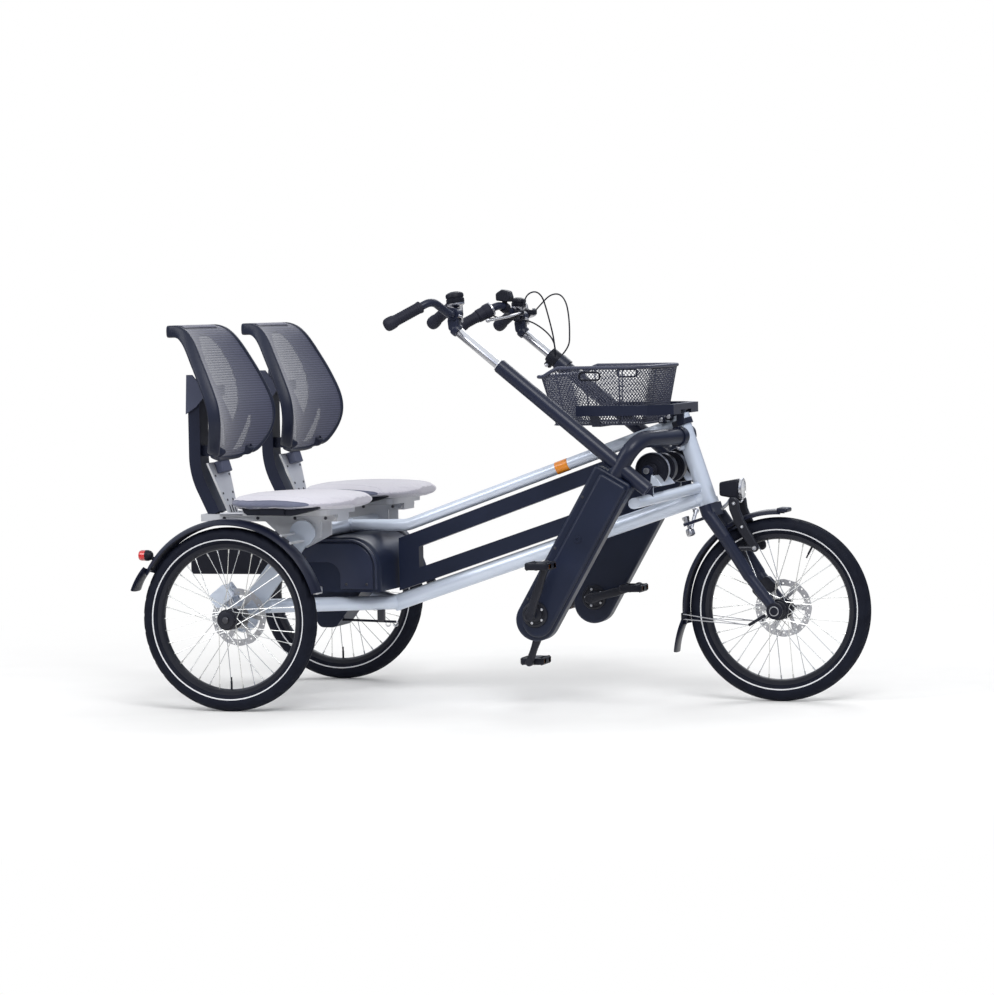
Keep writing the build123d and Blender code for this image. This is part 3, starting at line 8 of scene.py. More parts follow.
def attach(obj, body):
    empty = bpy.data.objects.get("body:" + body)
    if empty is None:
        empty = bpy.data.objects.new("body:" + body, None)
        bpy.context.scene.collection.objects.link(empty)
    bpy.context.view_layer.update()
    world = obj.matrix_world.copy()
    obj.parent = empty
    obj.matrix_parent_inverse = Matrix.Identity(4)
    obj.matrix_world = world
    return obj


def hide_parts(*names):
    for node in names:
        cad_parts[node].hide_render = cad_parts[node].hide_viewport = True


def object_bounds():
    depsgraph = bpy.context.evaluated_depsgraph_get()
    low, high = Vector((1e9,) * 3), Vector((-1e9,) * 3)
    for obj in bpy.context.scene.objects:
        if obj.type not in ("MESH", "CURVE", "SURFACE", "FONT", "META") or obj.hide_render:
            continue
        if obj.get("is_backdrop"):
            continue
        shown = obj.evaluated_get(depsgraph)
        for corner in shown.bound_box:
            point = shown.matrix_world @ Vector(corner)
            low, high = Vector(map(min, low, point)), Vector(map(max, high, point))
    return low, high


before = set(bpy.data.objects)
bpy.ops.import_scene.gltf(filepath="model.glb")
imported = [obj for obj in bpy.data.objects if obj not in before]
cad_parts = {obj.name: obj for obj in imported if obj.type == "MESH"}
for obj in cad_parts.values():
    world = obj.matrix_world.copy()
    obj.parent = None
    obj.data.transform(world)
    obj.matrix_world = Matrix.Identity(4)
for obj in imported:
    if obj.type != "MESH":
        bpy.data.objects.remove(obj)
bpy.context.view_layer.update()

# Main sizes of the vehicle in millimetres, apart from the two marked as
# metres. Lengths called ahead are measured forward of the rear axle.
MM = 0.001
REAR_AXLE_BACK = 0.700  # metres from the origin
WHEELBASE = 1445
HALF_TRACK = 455
SEAT_SIDE = 285
WHEEL_RADIUS = 254
TYRE_HALF_WIDTH = 0.025  # metres
ALONG, LEFT, UP = (1, 0, 0), (0, 1, 0), (0, 0, 1)


def at(ahead, left, up):
    """A place given in millimetres ahead of the rear axle, left and up."""
    return Vector((ahead * MM - REAR_AXLE_BACK, left * MM, up * MM))


FRONT_AXLE = at(WHEELBASE, 0, WHEEL_RADIUS)


def ray(middle, angle, reach, left=0.0):
    """A place at an angle in degrees and a reach in metres round an axle."""
    return middle + Vector((cos(radians(angle)) * reach, left, sin(radians(angle)) * reach))


# Materials


def node_group(name):
    """A new material with its node tree and shader."""
    material = bpy.data.materials.new(name)
    material.use_nodes = True
    return material, material.node_tree, material.node_tree.nodes["Principled BSDF"]


def feed(tree, target, inputs):
    """Link a node's inputs to sockets, or set them to values."""
    for place, value in inputs.items():
        if isinstance(value, bpy.types.NodeSocket):
            tree.links.new(value, target.inputs[place])
        else:
            target.inputs[place].default_value = value


def node(tree, kind, inputs, out=0, **settings):
    """An output of a new shader node with the inputs and settings given."""
    made = tree.nodes.new("ShaderNode" + kind)
    for setting, value in settings.items():
        setattr(made, setting, value)
    feed(tree, made, inputs)
    return made.outputs[out]


def noise(tree, place, scale, detail=3.0):
    """A noise texture's value."""
    return node(tree, "TexNoise", {"Vector": place, "Scale": scale, "Detail": detail}, "Fac")


def ramp(tree, value, stops):
    """A colour ramp with stops of place and colour."""
    made = tree.nodes.new("ShaderNodeValToRGB")
    while len(made.color_ramp.elements) < len(stops):
        made.color_ramp.elements.new(0.5)
    for element, (place, colour) in zip(made.color_ramp.elements, stops):
        element.position = place
        element.color = (*colour, 1.0)
    tree.links.new(value, made.inputs["Fac"])
    return made.outputs["Color"]


def spread(tree, value, low, high):
    """A value from 0 to 1 spread between low and high."""
    return node(tree, "MapRange", {"Value": value, "To Min": low, "To Max": high})


def bump(tree, height, strength, distance):
    """A normal with bumps of a height."""
    return node(tree, "Bump", {"Height": height, "Strength": strength, "Distance": distance})


def finish_material(
    name, dark, light, roughness, metallic=0.0, coat=0.0, grain=220.0, grain_depth=0.00003,
    rough_swing=0.06, gloss=0.5
):
    """Paint, plastic or metal with fine grain, slight colour drift and uneven gloss."""
    material, tree, shader = node_group(name)
    place = node(tree, "TexCoord", {}, "Object")
    smudge = noise(tree, place, 14.0, 4.0)
    feed(
        tree, shader,
        {
            "Base Color": ramp(tree, noise(tree, place, 6.0, 2.0), ((0.3, dark), (0.7, light))),
            "Roughness": spread(tree, smudge, roughness - rough_swing, roughness + rough_swing),
            "Metallic": metallic, "Specular IOR Level": gloss, "Coat Weight": coat, "Coat Roughness": 0.08,
            "Normal": bump(tree, noise(tree, place, grain, 2.0), 0.35, grain_depth)
        }
    )
    return material


SILVER = finish_material(
    "silver_paint", (0.57, 0.635, 0.75), (0.63, 0.69, 0.80), 0.32, metallic=0.25, coat=0.6, grain=900,
    grain_depth=0.00001
)
SILVER_PLATE = finish_material(
    "silver_plate", (0.60, 0.61, 0.64), (0.68, 0.69, 0.72), 0.42, metallic=0.5, grain=500
)
BLACK_PAINT = finish_material(
    "black_paint", (0.007, 0.010, 0.026), (0.011, 0.015, 0.036), 0.38, coat=0.06, grain=1400,
    grain_depth=0.00001, gloss=0.3
)
CASE_PLASTIC = finish_material(
    "case_plastic", (0.006, 0.010, 0.026), (0.010, 0.015, 0.037), 0.40, coat=0.05, grain=1100,
    grain_depth=0.00002, gloss=0.27
)
# Lighter copy of the case plastic: a painted highlight for the housing's rim and raised panel
CASE_HIGHLIGHT = finish_material(
    "case_highlight", (0.014, 0.019, 0.044), (0.020, 0.027, 0.058), 0.36, coat=0.15, grain=1100,
    grain_depth=0.00002, gloss=0.45
)
GUARD_PLASTIC = finish_material(
    "guard_plastic", (0.006, 0.008, 0.020), (0.011, 0.013, 0.029), 0.35, coat=0.06, grain=800, gloss=0.25
)
BLACK_PLASTIC = finish_material(
    "black_plastic", (0.005, 0.006, 0.012), (0.009, 0.010, 0.018), 0.5, grain=700, gloss=0.22
)
SLATE = finish_material(
    "slate_plastic", (0.060, 0.068, 0.115), (0.080, 0.090, 0.140), 0.5, grain=700, gloss=0.3
)
NAVY_PLASTIC = finish_material(
    "navy_plastic", (0.007, 0.010, 0.025), (0.011, 0.015, 0.034), 0.42, grain=700, gloss=0.3
)
BASKET_WIRE = finish_material(
    "basket_wire", (0.028, 0.032, 0.058), (0.042, 0.047, 0.082), 0.45, grain=900, gloss=0.5
)
CHROME = finish_material(
    "chrome", (0.66, 0.66, 0.69), (0.74, 0.74, 0.77), 0.16, metallic=1.0, grain=300, rough_swing=0.04
)
STEEL = finish_material("steel", (0.50, 0.50, 0.52), (0.60, 0.60, 0.62), 0.3, metallic=1.0, grain=400)
ALLOY_BLACK = finish_material(
    "alloy_black", (0.009, 0.010, 0.016), (0.015, 0.016, 0.024), 0.36, metallic=0.2, grain=600, gloss=0.4
)
DARK_STEEL = finish_material("dark_steel", (0.06, 0.06, 0.07), (0.10, 0.10, 0.11), 0.4, metallic=0.9)
SPOKE_STEEL = finish_material("spoke_steel", (0.62, 0.62, 0.60), (0.72, 0.72, 0.70), 0.25, metallic=0.9)
REFLECTOR_ORANGE = finish_material(
    "reflector_orange", (0.80, 0.24, 0.01), (0.90, 0.32, 0.02), 0.3, coat=0.4
)
LENS_RED = finish_material("lens_red", (0.50, 0.01, 0.01), (0.62, 0.02, 0.015), 0.15, coat=0.8)
LENS_CLEAR = finish_material("lens_clear", (0.75, 0.77, 0.80), (0.85, 0.87, 0.90), 0.08, coat=1.0)
GRIP = finish_material(
    "grip_rubber", (0.008, 0.009, 0.018), (0.014, 0.015, 0.028), 0.6, grain=420, grain_depth=0.0002,
    gloss=0.25
)


STRIPE_RADIUS = 0.2205
STRIPE_HALF_WIDTH = 0.0016


def tyre_material(middle):
    """Black rubber with a reflecting stripe round the sidewall."""
    material, tree, shader = node_group("tyre_rubber")
    place = node(tree, "TexCoord", {}, "Object")
    shifted = node(tree, "VectorMath", {0: place, 1: middle}, operation="SUBTRACT")
    flat = node(tree, "VectorMath", {0: shifted, 1: (1, 0, 1)}, operation="MULTIPLY")
    reach = node(tree, "VectorMath", {0: flat}, "Value", operation="LENGTH")
    stripe = node(tree, "Math", {0: reach, 1: STRIPE_RADIUS, 2: STRIPE_HALF_WIDTH}, operation="COMPARE")
    dirt = noise(tree, place, 30.0, 4.0)
    rubber = ramp(tree, dirt, ((0.3, (0.003, 0.004, 0.010)), (0.75, (0.007, 0.009, 0.018))))
    colours = {"Factor": stripe, "A": rubber, "B": (0.66, 0.67, 0.70, 1.0)}
    feed(
        tree, shader,
        {
            "Base Color": node(tree, "Mix", colours, "Result", data_type="RGBA"),
            "Roughness": spread(tree, dirt, 0.55, 0.75), "Specular IOR Level": 0.14,
            "Normal": bump(tree, noise(tree, place, 900.0, 2.0), 0.3, 0.0001)
        }
    )
    return material


# Mesh helpers


def mesh_piece(name, points, faces, material, body, sharp=32.0):
    """A piece made of points and faces, smooth except along sharp edges."""
    mesh = bpy.data.meshes.new(name)
    mesh.from_pydata([tuple(p) for p in points], [], faces)
    mesh.validate()
    build = bmesh.new()
    build.from_mesh(mesh)
    bmesh.ops.recalc_face_normals(build, faces=build.faces)
    build.to_mesh(mesh)
    build.free()
    for polygon in mesh.polygons:
        polygon.use_smooth = True
    mesh.set_sharp_from_angle(angle=radians(sharp))
    mesh.materials.append(material)
    return link_piece(name, mesh, body)


def linked(name, data):
    """A new object of a mesh, curve, lamp or camera in the scene."""
    made = bpy.data.objects.new(name, data)
    bpy.context.scene.collection.objects.link(made)
    return made


def link_piece(name, data, body):
    """An object of a mesh or curve, riding on a body."""
    piece = linked(name, data)
    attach(piece, body)
    return piece


def evaluated_mesh(piece):
    """A piece's mesh with its modifiers applied."""
    return bpy.data.meshes.new_from_object(piece.evaluated_get(bpy.context.evaluated_depsgraph_get()))


def band(rings, size, closed=False):
    """Quads between rings of points; the last joins the first, or both ends have caps."""
    faces = []
    for ring in range(rings if closed else rings - 1):
        start, following = ring * size, (ring + 1) % rings * size
        for corner in range(size):
            after = (corner + 1) % size
            faces.append((start + corner, start + after, following + after, following + corner))
    if not closed:
        faces.append(tuple(reversed(range(size))))
        faces.append(tuple(range((rings - 1) * size, rings * size)))
    return faces


def grid(rows, columns):
    """Quads of a flat grid of points, row by row."""
    wide = columns + 1
    starts = [row * wide + column for row in range(rows) for column in range(columns)]
    return [(a, a + 1, a + wide + 1, a + wide) for a in starts]


def rounded(value, power):
    """A sine or cosine pushed outward, for sections with round corners."""
    return (abs(value) ** power) * (1 if value > 0 else -1)


def rounded_path(points, radii, steps=8):
    """Straight runs with a circular arc at each inner corner."""
    points = [Vector(p) for p in points]
    if not isinstance(radii, (list, tuple)):
        radii = [radii] * (len(points) - 2)
    path = [points[0]]
    for index, radius in enumerate(radii, start=1):
        before = (points[index - 1] - points[index]).normalized()
        after = (points[index + 1] - points[index]).normalized()
        half = before.angle(after) / 2
        cut = radius / tan(half)
        middle = points[index] + (before + after).normalized() * radius / sin(half)
        start = points[index] + before * cut
        end = points[index] + after * cut
        turn = (start - middle).angle(end - middle)
        axis = (start - middle).cross(end - middle).normalized()
        for step in range(steps + 1):
            spin = Matrix.Rotation(turn * step / steps, 3, axis)
            path.append(middle + spin @ (start - middle))
    path.append(points[-1])
    return path


def closed_ways(path):
    """The way a closed path runs at each of its points."""
    return [(b - a).normalized() for a, b in zip(path[-1:] + path[:-1], path[1:] + path[:1])]


def swept(path, section, sizes=None, up=None):
    """Points and faces of a closed section carried along a path, with flat ends."""
    points = []
    tangents = [(b - a).normalized() for a, b in zip(path[:1] + path[:-1], path[1:] + path[-1:])]
    side = up or (Vector(UP) if abs(tangents[0].z) < 0.9 else Vector(ALONG))
    side = (side - tangents[0] * side.dot(tangents[0])).normalized()
    for index, place in enumerate(path):
        tangent = tangents[index]
        side = (side - tangent * side.dot(tangent)).normalized()
        other = tangent.cross(side)
        size = sizes[index] if sizes else 1.0
        for x, y in section:
            points.append(place + side * x * size + other * y * size)
    return points, band(len(path), len(section))


def circle(radius, count=32):
    """A round section."""
    return [(radius * cos(2 * pi * i / count), radius * sin(2 * pi * i / count)) for i in range(count)]


def tube(name, points, radius, bends, material, body, count=32):
    """A round tube along straight runs and arcs."""
    path = rounded_path(points, bends, 10) if len(points) > 2 else [Vector(p) for p in points]
    return mesh_piece(name, *swept(path, circle(radius, count)), material, body)


def turned(name, profile, middle, axis, material, body, count=64, start=0.0, sweep=360.0, sharp=32.0):
    """A profile of (reach, along) turned about an axis through the middle."""
    axis = Vector(axis).normalized()
    first = Vector(UP) if abs(axis.z) < 0.9 else Vector(ALONG)
    first = (first - axis * first.dot(axis)).normalized()
    second = axis.cross(first)
    closed = abs(sweep) >= 360.0
    rings = count if closed else count + 1
    points = []
    for index in range(rings):
        angle = radians(start + sweep * index / count)
        outward = first * cos(angle) + second * sin(angle)
        for reach, along in profile:
            points.append(middle + outward * reach + axis * along)
    return mesh_piece(name, points, band(rings, len(profile), closed), material, body, sharp)


def sleeve_profile(inner, outer, low, high, edge, edge_run):
    """Half of a sleeve's section with bevelled outer edges."""
    return (
        (inner, low), (outer - edge, low), (outer, low + edge_run), (outer, high - edge_run),
        (outer - edge, high), (inner, high)
    )


def mirrored(half):
    """Half of a section, and its mirror image from its widest place on."""
    return [(reach, -along) for reach, along in half] + list(half[::-1])


def screw_profile(reach, rise, top_reach, top):
    """Half of a screw head's section."""
    return ((0.0, 0.0), (reach, 0.0), (reach, rise), (top_reach, top), (0.0, top))


def prism(name, outline, origin, across, upward, thickness, material, body, bevel=0.0, segments=3):
    """A flat outline given thickness about its plane, with rounded edges."""
    across, upward = Vector(across).normalized(), Vector(upward).normalized()
    normal = across.cross(upward)
    points = []
    for side in (-0.5, 0.5):
        for x, y in outline:
            points.append(origin + across * x + upward * y + normal * thickness * side)
    count = len(outline)
    faces = [tuple(reversed(range(count))), tuple(range(count, 2 * count))]
    for index in range(count):
        following = (index + 1) % count
        faces.append((index, following, count + following, count + index))
    piece = mesh_piece(name, points, faces, material, body)
    if bevel:
        modifier = piece.modifiers.new("edges", "BEVEL")
        modifier.width = bevel
        modifier.segments = segments
        modifier.limit_method = "ANGLE"
        modifier.angle_limit = radians(40)
        modifier.harden_normals = False
    return piece


def box(name, middle, size, material, body, turn=None, bevel=0.002):
    """A block with rounded edges."""
    x, y, z = (s / 2 for s in size)
    outline = [(-x, -z), (x, -z), (x, z), (-x, z)]
    across, upward = Vector(ALONG), Vector(UP)
    if turn is not None:
        across, upward = turn @ across, turn @ upward
    return prism(name, outline, Vector(middle), across, upward, size[1], material, body, bevel)


def arc_points(middle, radius, start, end, steps):
    """Points along a flat arc, angles in degrees."""
    angles = [radians(start + (end - start) * i / steps) for i in range(steps + 1)]
    return [(middle[0] + radius * cos(angle), middle[1] + radius * sin(angle)) for angle in angles]


def round_rectangle(low_x, high_x, low_y, high_y, corner, steps):
    """A closed outline of a rectangle with round corners."""
    outline = []
    for x, y, start in (
        (high_x - corner, high_y - corner, 0), (low_x + corner, high_y - corner, 90),
        (low_x + corner, low_y + corner, 180), (high_x - corner, low_y + corner, 270)
    ):
        outline.extend(arc_points((x, y), corner, start, start + 90, steps))
    return outline


SIDES = (("right", -1), ("left", 1))


def dress(node, material):
    """Give a carried-over node its material, smooth where it is round."""
    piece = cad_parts[node]
    piece.data.materials.clear()
    piece.data.materials.append(material)
    for polygon in piece.data.polygons:
        polygon.use_smooth = True
    piece.data.set_sharp_from_angle(angle=radians(30))


# Nodes of both sides end in _, and get right and left
DRESSES = (
    (SILVER, "head_tube upper_tube lower_tube seat_beam rear_stay_ wheel_carrier_ side_strut_"),
    (SILVER_PLATE, "seat_base_ seat_cushion_"),
    (BLACK_PAINT, "support_arm_ basket_carrier fork backrest_bar_"),
    (CASE_PLASTIC, "chain_case_ chain_guard drive_housing"), (BASKET_WIRE, "basket"),
    (DARK_STEEL, "layshaft"), (STEEL, "tie_rod"), (CHROME, "pilot_bar copilot_bar"),
    (GRIP, "pilot_grips copilot_grips"), (LENS_RED, "tail_lamps"),
    (GUARD_PLASTIC, "rear_mudguard_ front_mudguard"),
    (ALLOY_BLACK, "front_brakes crank_ wheel_front wheel_rear_"),
    (BLACK_PLASTIC, "battery_box headlamp backrest_ tyre_front tyre_rear_ pilot_controls copilot_bell"),
    (BLACK_PLASTIC, "pilot_cables pedal_right_inner pedal_right_outer pedal_left_inner pedal_left_outer")
)
for material, names in DRESSES:
    for node_name in names.split():
        for side_name in ("right", "left") if node_name.endswith("_") else ("",):
            dress(node_name + side_name, material)

# Wheels. Columns: name, body, axle's middle, where the brake disc stands and
# the way from the wheel's middle to it
WHEEL_TABLE = (
    ("rear_right", "rear_wheel_right", at(0, -HALF_TRACK, WHEEL_RADIUS), 0.068, 1),
    ("rear_left", "rear_wheel_left", at(0, HALF_TRACK, WHEEL_RADIUS), 0.068, -1),
    ("front", "front_wheel", FRONT_AXLE, 0.037, 1)
)
CASING_MIDDLE = 0.229
BEAD_ANGLE = 143.0
TREAD_ANGLE = 52.0
TYRE_STEPS = 288
PROFILE_STEPS = 40
SIPE_EVERY = 8
SIPE_START = 20.0
SIPE_SLANT = 9.0
SIPE_DEPTH = 0.0016
GROOVE_ANGLE = 13.0
GROOVE_HALF_ANGLE = 3.0


def tyre_mesh(name, middle, body):
    """A tyre whose tread has two grooves and slanting sipes on its shoulders."""
    points = []
    for step in range(TYRE_STEPS):
        for place in range(PROFILE_STEPS + 1):
            slope = -BEAD_ANGLE + 2 * BEAD_ANGLE * place / PROFILE_STEPS
            off_middle = abs(slope)
            groove = abs(off_middle - GROOVE_ANGLE) < GROOVE_HALF_ANGLE
            sipe = off_middle > SIPE_START and (step + int(off_middle / SIPE_SLANT)) % SIPE_EVERY < 2
            sunk = off_middle < TREAD_ANGLE and (groove or sipe)
            radius = TYRE_HALF_WIDTH - (SIPE_DEPTH if sunk else 0.0)
            reach = CASING_MIDDLE + radius * cos(radians(slope))
            left = radius * sin(radians(slope))
            points.append(ray(middle, 360 * step / TYRE_STEPS, reach, left))
    faces = band(TYRE_STEPS, PROFILE_STEPS + 1, True)
    return mesh_piece(name, points, faces, tyre_material(middle), body, 40.0)


RIM_PROFILE = (
    # reach, along, in metres
    (0.2085, -0.0150), (0.2105, -0.0150), (0.2105, -0.0128), (0.2040, -0.0122), (0.2040, 0.0122),
    (0.2105, 0.0128), (0.2105, 0.0150), (0.2085, 0.0150), (0.1990, 0.0142), (0.1945, 0.0085), (0.1930, 0.0),
    (0.1945, -0.0085), (0.1990, -0.0142)
)
SPOKE_COUNT = 36
SPOKE_LEAD = 55.0
SPOKE_RADIUS = 0.0011
FLANGE_RADIUS = 0.027
FLANGE_OFFSET = 0.022
SPOKE_REACH = 0.200
NIPPLE_LENGTH = 0.017
HEAD_OFFSET = 0.002
ROTOR_RADIUS = 0.080
ROTOR_THICK = 0.0018
VALVE_REACH = 0.194
VALVE_ANGLES = {"front": 62, "rear_right": 270, "rear_left": 270}


def hub_profile(rotor_place):
    """Half of a hub's section, from its outer end to the disc."""
    return (
        (0.0, -0.033), (0.013, -0.033), (0.0225, -0.031), (0.0240, -0.028), (0.0240, -0.0245),
        (0.0290, -0.0240), (0.0290, -0.0205), (0.0190, -0.0195), (0.0160, -0.0150), (0.0160, 0.0150),
        (0.0190, 0.0195), (0.0290, 0.0205), (0.0290, 0.0235), (0.0210, 0.0245), (0.0170, 0.0270),
        (0.0170, rotor_place), (0.0, rotor_place)
    )


def plate(name, outlines, origin, across, upward, thickness, material, body, bevel=0.0):
    """A flat plate with holes: the first outline is its edge."""
    curve = bpy.data.curves.new(name, "CURVE")
    curve.dimensions = "2D"
    curve.fill_mode = "BOTH"
    curve.extrude = thickness / 2 - bevel
    curve.bevel_depth = bevel
    curve.bevel_resolution = 1
    for outline in outlines:
        spline = curve.splines.new("POLY")
        spline.points.add(len(outline) - 1)
        for point, (x, y) in zip(spline.points, outline):
            point.co = (x, y, 0, 1)
        spline.use_cyclic_u = True
    maker = linked(name, curve)
    bpy.context.view_layer.update()
    mesh = evaluated_mesh(maker)
    bpy.data.objects.remove(maker)
    across, upward = Vector(across).normalized(), Vector(upward).normalized()
    normal = across.cross(upward)
    frame_turn = Matrix((across, upward, normal)).transposed().to_4x4()
    mesh.transform(Matrix.Translation(Vector(origin)) @ frame_turn)
    mesh.materials.clear()
    mesh.materials.append(material)
    build = bmesh.new()
    build.from_mesh(mesh)
    bmesh.ops.remove_doubles(build, verts=build.verts, dist=0.000005)
    bmesh.ops.recalc_face_normals(build, faces=build.faces)
    build.to_mesh(mesh)
    build.free()
    return link_piece(name, mesh, body)


def ring_outline(radius, count, wave=0.0, waves=0):
    """A round outline, wavy if a wave is given."""
    outline = []
    for index in range(count):
        angle = 2 * pi * index / count
        reach = radius + wave * cos(waves * angle)
        outline.append((reach * cos(angle), reach * sin(angle)))
    return outline


DISC_HOLE_RADIUS = 0.0028


def disc_outlines(radius):
    """A brake disc: wavy edge, round holes in its band and windows within."""
    outlines = [ring_outline(radius - 0.0007, 144, 0.0007, 12)]
    for index in range(24):
        angle = 2 * pi * index / 24
        reach = radius - (0.006 if index % 2 else 0.0115)
        middle = (reach * cos(angle), reach * sin(angle))
        outlines.append([(middle[0] + x, middle[1] + y) for x, y in ring_outline(DISC_HOLE_RADIUS, 8)])
    for index in range(6):
        start, end = index * 60.0 + 8.0, index * 60.0 + 52.0
        outlines.append(
            arc_points((0, 0), radius - 0.018, start, end, 8)
            + arc_points((0, 0), 0.031, end + 10.0, start + 10.0, 8)
        )
    outlines.append(ring_outline(0.0173, 24))
    return outlines


for wheel_name, body, middle, rotor_place, way in WHEEL_TABLE:
    tyre = tyre_mesh("tyre_" + wheel_name + "_look", middle, body)
    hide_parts("tyre_" + wheel_name)
    across = Vector((0, way, 0))
    rim = turned("rim_" + wheel_name, RIM_PROFILE, middle, across, ALLOY_BLACK, body, 160)
    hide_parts("wheel_" + wheel_name)
    turned("hub_" + wheel_name, hub_profile(rotor_place), middle, across, ALLOY_BLACK, body, 48)
    spokes, nipples = ([], []), ([], [])
    for index in range(SPOKE_COUNT):
        side = 1 if index % 2 else -1
        turn = 360 * index / SPOKE_COUNT
        lead = SPOKE_LEAD if index % 4 < 2 else -SPOKE_LEAD
        foot = ray(middle, turn + lead, FLANGE_RADIUS, side * FLANGE_OFFSET)
        head = ray(middle, turn, SPOKE_REACH, side * HEAD_OFFSET)
        nipple = head + (foot - head).normalized() * NIPPLE_LENGTH
        for start, radius, (points, faces) in (
            (foot, SPOKE_RADIUS, spokes), (nipple, SPOKE_RADIUS * 2, nipples)
        ):
            new_points, new_faces = swept([start, head], circle(radius, 8))
            faces.extend([tuple(len(points) + corner for corner in face) for face in new_faces])
            points.extend(new_points)
    mesh_piece("spokes_" + wheel_name, *spokes, SPOKE_STEEL, body)
    mesh_piece("nipples_" + wheel_name, *nipples, SPOKE_STEEL, body)
    plate(
        "disc_" + wheel_name, disc_outlines(ROTOR_RADIUS), middle + across * rotor_place, ALONG, UP,
        ROTOR_THICK, STEEL, body
    )
    # Axle end cap on the hub's outer side
    turned(
        "hub_cap_" + wheel_name,
        ((0.0, -0.0405), (0.007, -0.0405), (0.0088, -0.039), (0.0088, -0.0325), (0.0, -0.0325)), middle,
        across, DARK_STEEL, body, 24
    )
    # Valve
    valve_start = ray(middle, VALVE_ANGLES[wheel_name], VALVE_REACH)
    turned(
        "valve_" + wheel_name,
        ((0.0, 0.0), (0.003, 0.0), (0.003, 0.022), (0.0022, 0.024), (0.0022, 0.034), (0.0, 0.034)),
        valve_start, middle - valve_start, BLACK_PLASTIC, body, 16
    )

# Backrests: a mesh panel with see-through windows in a padded frame


def table_value(table, place, column):
    """A column of a table at a place in its first column, by straight runs."""
    if place <= table[0][0]:
        return table[0][column]
    for before, after in zip(table, table[1:]):
        if place <= after[0]:
            share = (place - before[0]) / (after[0] - before[0])
            return before[column] + (after[column] - before[column]) * share
    return table[-1][column]


BACK_PROFILE = (
    # share from the bottom, how far forward the edges stand, height, width, wrap
    (0.00, -50, 690, 250, 20), (0.08, -30, 715, 335, 30), (0.18, -11, 757, 412, 38),
    (0.28, -3, 800, 448, 42), (0.40, -9, 848, 452, 42), (0.55, -34, 910, 434, 40),
    (0.68, -62, 966, 404, 36), (0.80, -92, 1020, 366, 30), (0.88, -117, 1048, 346, 24),
    (0.94, -143, 1060, 334, 16), (1.00, -176, 1061, 326, 10)
)


def smooth_between(table, place):
    """Columns of a table at a place in its first column, by smooth curves."""
    last = len(table) - 1
    index = 0
    while index < last - 1 and place > table[index + 1][0]:
        index += 1
    span = table[index + 1][0] - table[index][0]
    share = (place - table[index][0]) / span
    before = table[max(index - 1, 0)]
    after = table[min(index + 2, last)]
    values = []
    for column in range(1, len(table[0])):
        a, b = table[index][column], table[index + 1][column]
        slope_a = (b - before[column]) / (table[index + 1][0] - before[0]) * span
        slope_b = (after[column] - a) / (after[0] - table[index][0]) * span
        s2, s3 = share ** 2, share ** 3
        ends = (2 * s3 - 3 * s2 + 1) * a + (3 * s2 - 2 * s3) * b
        values.append(ends + (s3 - 2 * s2 + share) * slope_a + (s3 - s2) * slope_b)
    return values


BACK_BORDER_INSET = 14.5
BACK_CORNER_RISE = 12


def back_point(up, across, seat_side):
    """A place on the backrest's front face: shares from 0 to 1 and from -1 to 1."""
    edge, height, width, wrap = smooth_between(BACK_PROFILE, up)
    corner = max(0.0, (0.10 - up) / 0.10)
    lift = BACK_CORNER_RISE * corner * corner * across ** 4
    ahead = edge - wrap * (1 - across * across)
    return at(ahead, seat_side + across * (width / 2 - BACK_BORDER_INSET), height + lift)


def back_normal(up, across, seat_side):
    """The way the front face looks there."""
    step = 0.01
    higher, lower = min(up + step, 1), max(up - step, 0)
    left, right = min(across + step, 1), max(across - step, -1)
    rise = back_point(higher, across, seat_side) - back_point(lower, across, seat_side)
    side = back_point(up, left, seat_side) - back_point(up, right, seat_side)
    return side.cross(rise).normalized()


RIB_PITCH, THREAD_PITCH = 0.0068, 0.0024


def mesh_fabric(name, dark, light, clear):
    """Ribbed mesh; where it is clear, light comes through between the ribs."""
    material, tree, shader = node_group(name)
    place = node(tree, "TexCoord", {}, "Object")
    ribs = []
    for axis, pitch in (("Z", RIB_PITCH), ("Y", THREAD_PITCH)):
        along = node(tree, "SeparateXYZ", {0: place}, axis)
        turns = node(tree, "Math", {0: along, 1: 2 * pi / pitch}, operation="MULTIPLY")
        wave = node(tree, "Math", {0: turns}, operation="SINE")
        ribs.append(node(tree, "MapRange", {"Value": wave, "From Min": -1.0}))
    both = node(tree, "Math", {0: ribs[1], 1: 0.3, 2: ribs[0]}, operation="MULTIPLY_ADD")
    line = spread(tree, both, 0.0, 1.0)
    feed(
        tree, shader,
        {
            "Base Color": ramp(tree, line, ((0.15, dark), (0.9, light))), "Roughness": 0.7,
            "Sheen Weight": 0.3, "Normal": bump(tree, line, 0.5, 0.0005)
        }
    )
    if clear:
        ends = {"Value": line, "From Min": 0.35, "From Max": 0.65, "To Min": 1.0, "To Max": 1.0 - clear}
        feed(tree, shader, {"Alpha": node(tree, "MapRange", ends)})
    return material


BACK_MESH = mesh_fabric("back_mesh", (0.018, 0.021, 0.046), (0.046, 0.052, 0.104), 0.0)
BACK_WINDOW = mesh_fabric("back_window", (0.050, 0.055, 0.090), (0.13, 0.14, 0.19), 0.38)
WINDOW_EDGE = (
    # share from the bottom, half of the long window's width as a share
    (0.26, 0.0), (0.32, 0.12), (0.42, 0.28), (0.55, 0.42), (0.65, 0.45), (0.75, 0.41), (0.82, 0.28),
    (0.86, 0.0)
)
